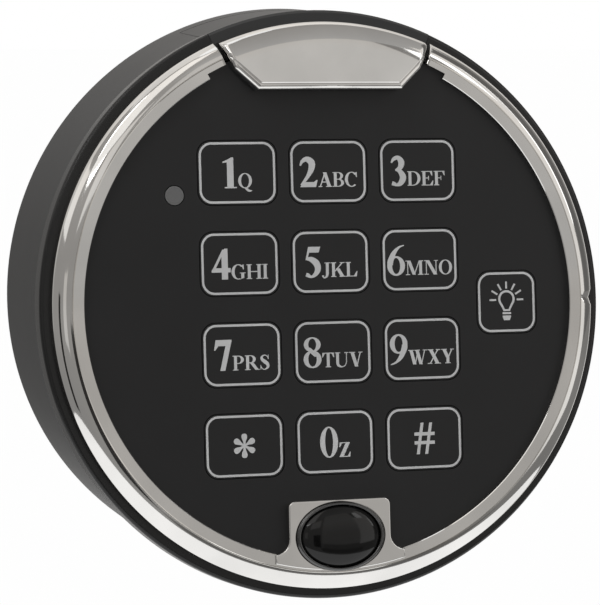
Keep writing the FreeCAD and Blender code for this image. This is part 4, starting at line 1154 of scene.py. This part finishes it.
class BuildStage(bpy.types.Operator):
    """Pale floor, white surroundings, soft lamps, reflection cards and the camera"""
    bl_idname = "safe_keypad.stage"
    bl_label = "Set the stage"

    def execute(self, context):
        self.world(context.scene)
        self.floor()
        for values in CARDS:
            self.card(*values)
        for values in LAMPS:
            self.lamp(*values)
        self.camera(context.scene)
        return {"FINISHED"}

    def world(self, scene):
        world = bpy.data.worlds.new("studio")
        scene.world = world
        world.use_nodes = True
        tree = world.node_tree
        tree.nodes.clear()
        room, white = (add_node(tree, "Background", [("Color", (1, 1, 1, 1)), ("Strength", strength)])
                       for strength in (ROOM_LIGHT, 1.0))
        mix = add_node(tree, "MixShader", sources=[
            (0, seeing_rays(tree)), (1, room.outputs[0]), (2, white.outputs[0])])
        add_node(tree, "OutputWorld", sources=[("Surface", mix.outputs[0])])

    def floor(self):
        bpy.ops.object.select_all(action="DESELECT")
        bpy.ops.mesh.primitive_plane_add(size=60.0, location=(0, 0, -FLOOR_DROP))
        floor = named("floor")
        bpy.ops.object.transform_apply(location=True, rotation=True, scale=True)
        material = bpy.data.materials.new("pale floor")
        material.use_nodes = True
        tree = material.node_tree
        shader = tree.nodes["Principled BSDF"]
        shader.inputs["Base Color"].default_value = (0.9, 0.9, 0.9, 1)
        shader.inputs["Roughness"].default_value = 0.8
        glow = add_node(tree, "Emission", [("Strength", 1.0)])
        share = add_node(tree, "Math", [(1, FLOOR_GLOW)], [(0, seeing_rays(tree))], operation="MULTIPLY")
        mix = add_node(tree, "MixShader", sources=[
            (0, share.outputs[0]), (1, shader.outputs[0]), (2, glow.outputs[0])])
        tree.links.new(mix.outputs[0], tree.nodes["Material Output"].inputs["Surface"])
        floor.data.materials.append(material)

    def card(self, name, azimuths, elevations, distance, low, high):
        """A curved card that only reflections see, given by its spread about the unit."""
        bpy.ops.object.select_all(action="DESELECT")
        bpy.ops.mesh.primitive_grid_add(x_subdivisions=16, y_subdivisions=6, size=1.0)
        card = named(name)
        (a0, a1), (e0, e1) = azimuths, elevations
        for vertex in card.data.vertices:
            place = direction(a0 + (a1 - a0) * (vertex.co.x + 0.5), e0 + (e1 - e0) * (vertex.co.y + 0.5))
            vertex.co = place * distance
        material = bpy.data.materials.new(name)
        material.use_nodes = True
        tree = material.node_tree
        tree.nodes.remove(tree.nodes["Principled BSDF"])
        place = add_node(tree, "TexCoord").outputs["Object"]
        split = add_node(tree, "SeparateXYZ", sources=[(0, place)])
        rise = add_node(tree, "MapRange", [
            ("From Min", distance * math.sin(math.radians(e0))),
            ("From Max", distance * math.sin(math.radians(e1)))], [("Value", split.outputs["Z"])])
        blend = add_node(tree, "Mix", data_type="RGBA")
        for key, grey, tint in (("A", low, LOW_TINT), ("B", high, HIGH_TINT)):
            blend.inputs[key].default_value = [grey * share for share in tint] + [1]
        tree.links.new(rise.outputs["Result"], blend.inputs["Factor"])
        glow = add_node(tree, "Emission", sources=[("Color", blend.outputs["Result"])])
        tree.links.new(glow.outputs[0], tree.nodes["Material Output"].inputs["Surface"])
        card.data.materials.append(material)
        card.visible_camera = False
        card.visible_diffuse = False
        card.visible_shadow = False

    def lamp(self, name, azimuth, elevation, distance, size, energy):
        data = bpy.data.lights.new(name, "AREA")
        data.shape = "DISK"
        data.size = size
        data.energy = energy
        lamp = bpy.data.objects.new(name, data)
        toward = direction(azimuth, elevation)
        lamp.location = toward * distance
        lamp.rotation_euler = toward.to_track_quat("Z", "Y").to_euler()
        bpy.context.scene.collection.objects.link(lamp)

    def camera(self, scene):
        stage, face = scene.lock_stage, scene.lock_face
        az, el, roll = stage.azimuth, stage.elevation, stage.roll
        away = Vector((math.sin(az) * math.cos(el), math.sin(el), math.cos(az) * math.cos(el)))
        right = (-away).cross(Vector((0, 1, 0))).normalized()
        up = right.cross(-away)
        right, up = (right * math.cos(roll) + up * math.sin(roll),
                     up * math.cos(roll) - right * math.sin(roll))
        per_px = stage.distance / stage.focal
        tx = (stage.centre_x - PICTURE[0] / 2) * per_px
        ty = (stage.centre_y - PICTURE[1] / 2) * per_px
        place = away * stage.distance - right * tx + up * ty
        turn = Matrix((right, up, away)).transposed().to_4x4()
        to_world = (Matrix.Translation((0, -face.height * MM, 0))
                    @ Matrix.Rotation(math.pi / 2 - face.tilt, 4, "X"))
        data = bpy.data.cameras.new("camera")
        data.sensor_fit = "AUTO"
        data.sensor_width = SENSOR
        data.lens = stage.focal * SENSOR / PICTURE[1]
        data.clip_start = 0.01
        data.clip_end = 100.0
        camera = bpy.data.objects.new("camera", data)
        scene.collection.objects.link(camera)
        camera.matrix_world = to_world @ Matrix.Translation(place * MM) @ turn
        scene.camera = camera


class KeypadPanel(bpy.types.Panel):
    """Lists the builders in the sidebar"""
    bl_label = "Safe keypad"
    bl_idname = "VIEW3D_PT_safe_keypad"
    bl_space_type = "VIEW_3D"
    bl_region_type = "UI"
    bl_category = "Safe keypad"

    def draw(self, context):
        for operator in OPERATORS:
            self.layout.operator(operator.bl_idname)


OPERATORS = [FinishNodes, BuildHousing, BuildCover, BuildBezel, BuildPullTab, BuildBadge,
             BuildPrints, BuildStage]
CLASSES = list(GROUPS.values()) + OPERATORS + [KeypadPanel]


def register():
    for cls in CLASSES:
        bpy.utils.register_class(cls)
    for name, group in GROUPS.items():
        setattr(bpy.types.Scene, name, bpy.props.PointerProperty(type=group))


def unregister():
    for name in GROUPS:
        delattr(bpy.types.Scene, name)
    for cls in reversed(CLASSES):
        bpy.utils.unregister_class(cls)


def main():
    register()
    bpy.context.scene.view_settings.view_transform = "Standard"
    bpy.ops.safe_keypad.finishes()
    bpy.ops.safe_keypad.housing()
    bpy.ops.safe_keypad.cover()
    bpy.ops.safe_keypad.bezel()
    bpy.ops.safe_keypad.pull_tab()
    bpy.ops.safe_keypad.badge()
    bpy.ops.safe_keypad.prints()
    bpy.ops.safe_keypad.stage()


if __name__ == "__main__":
    main()
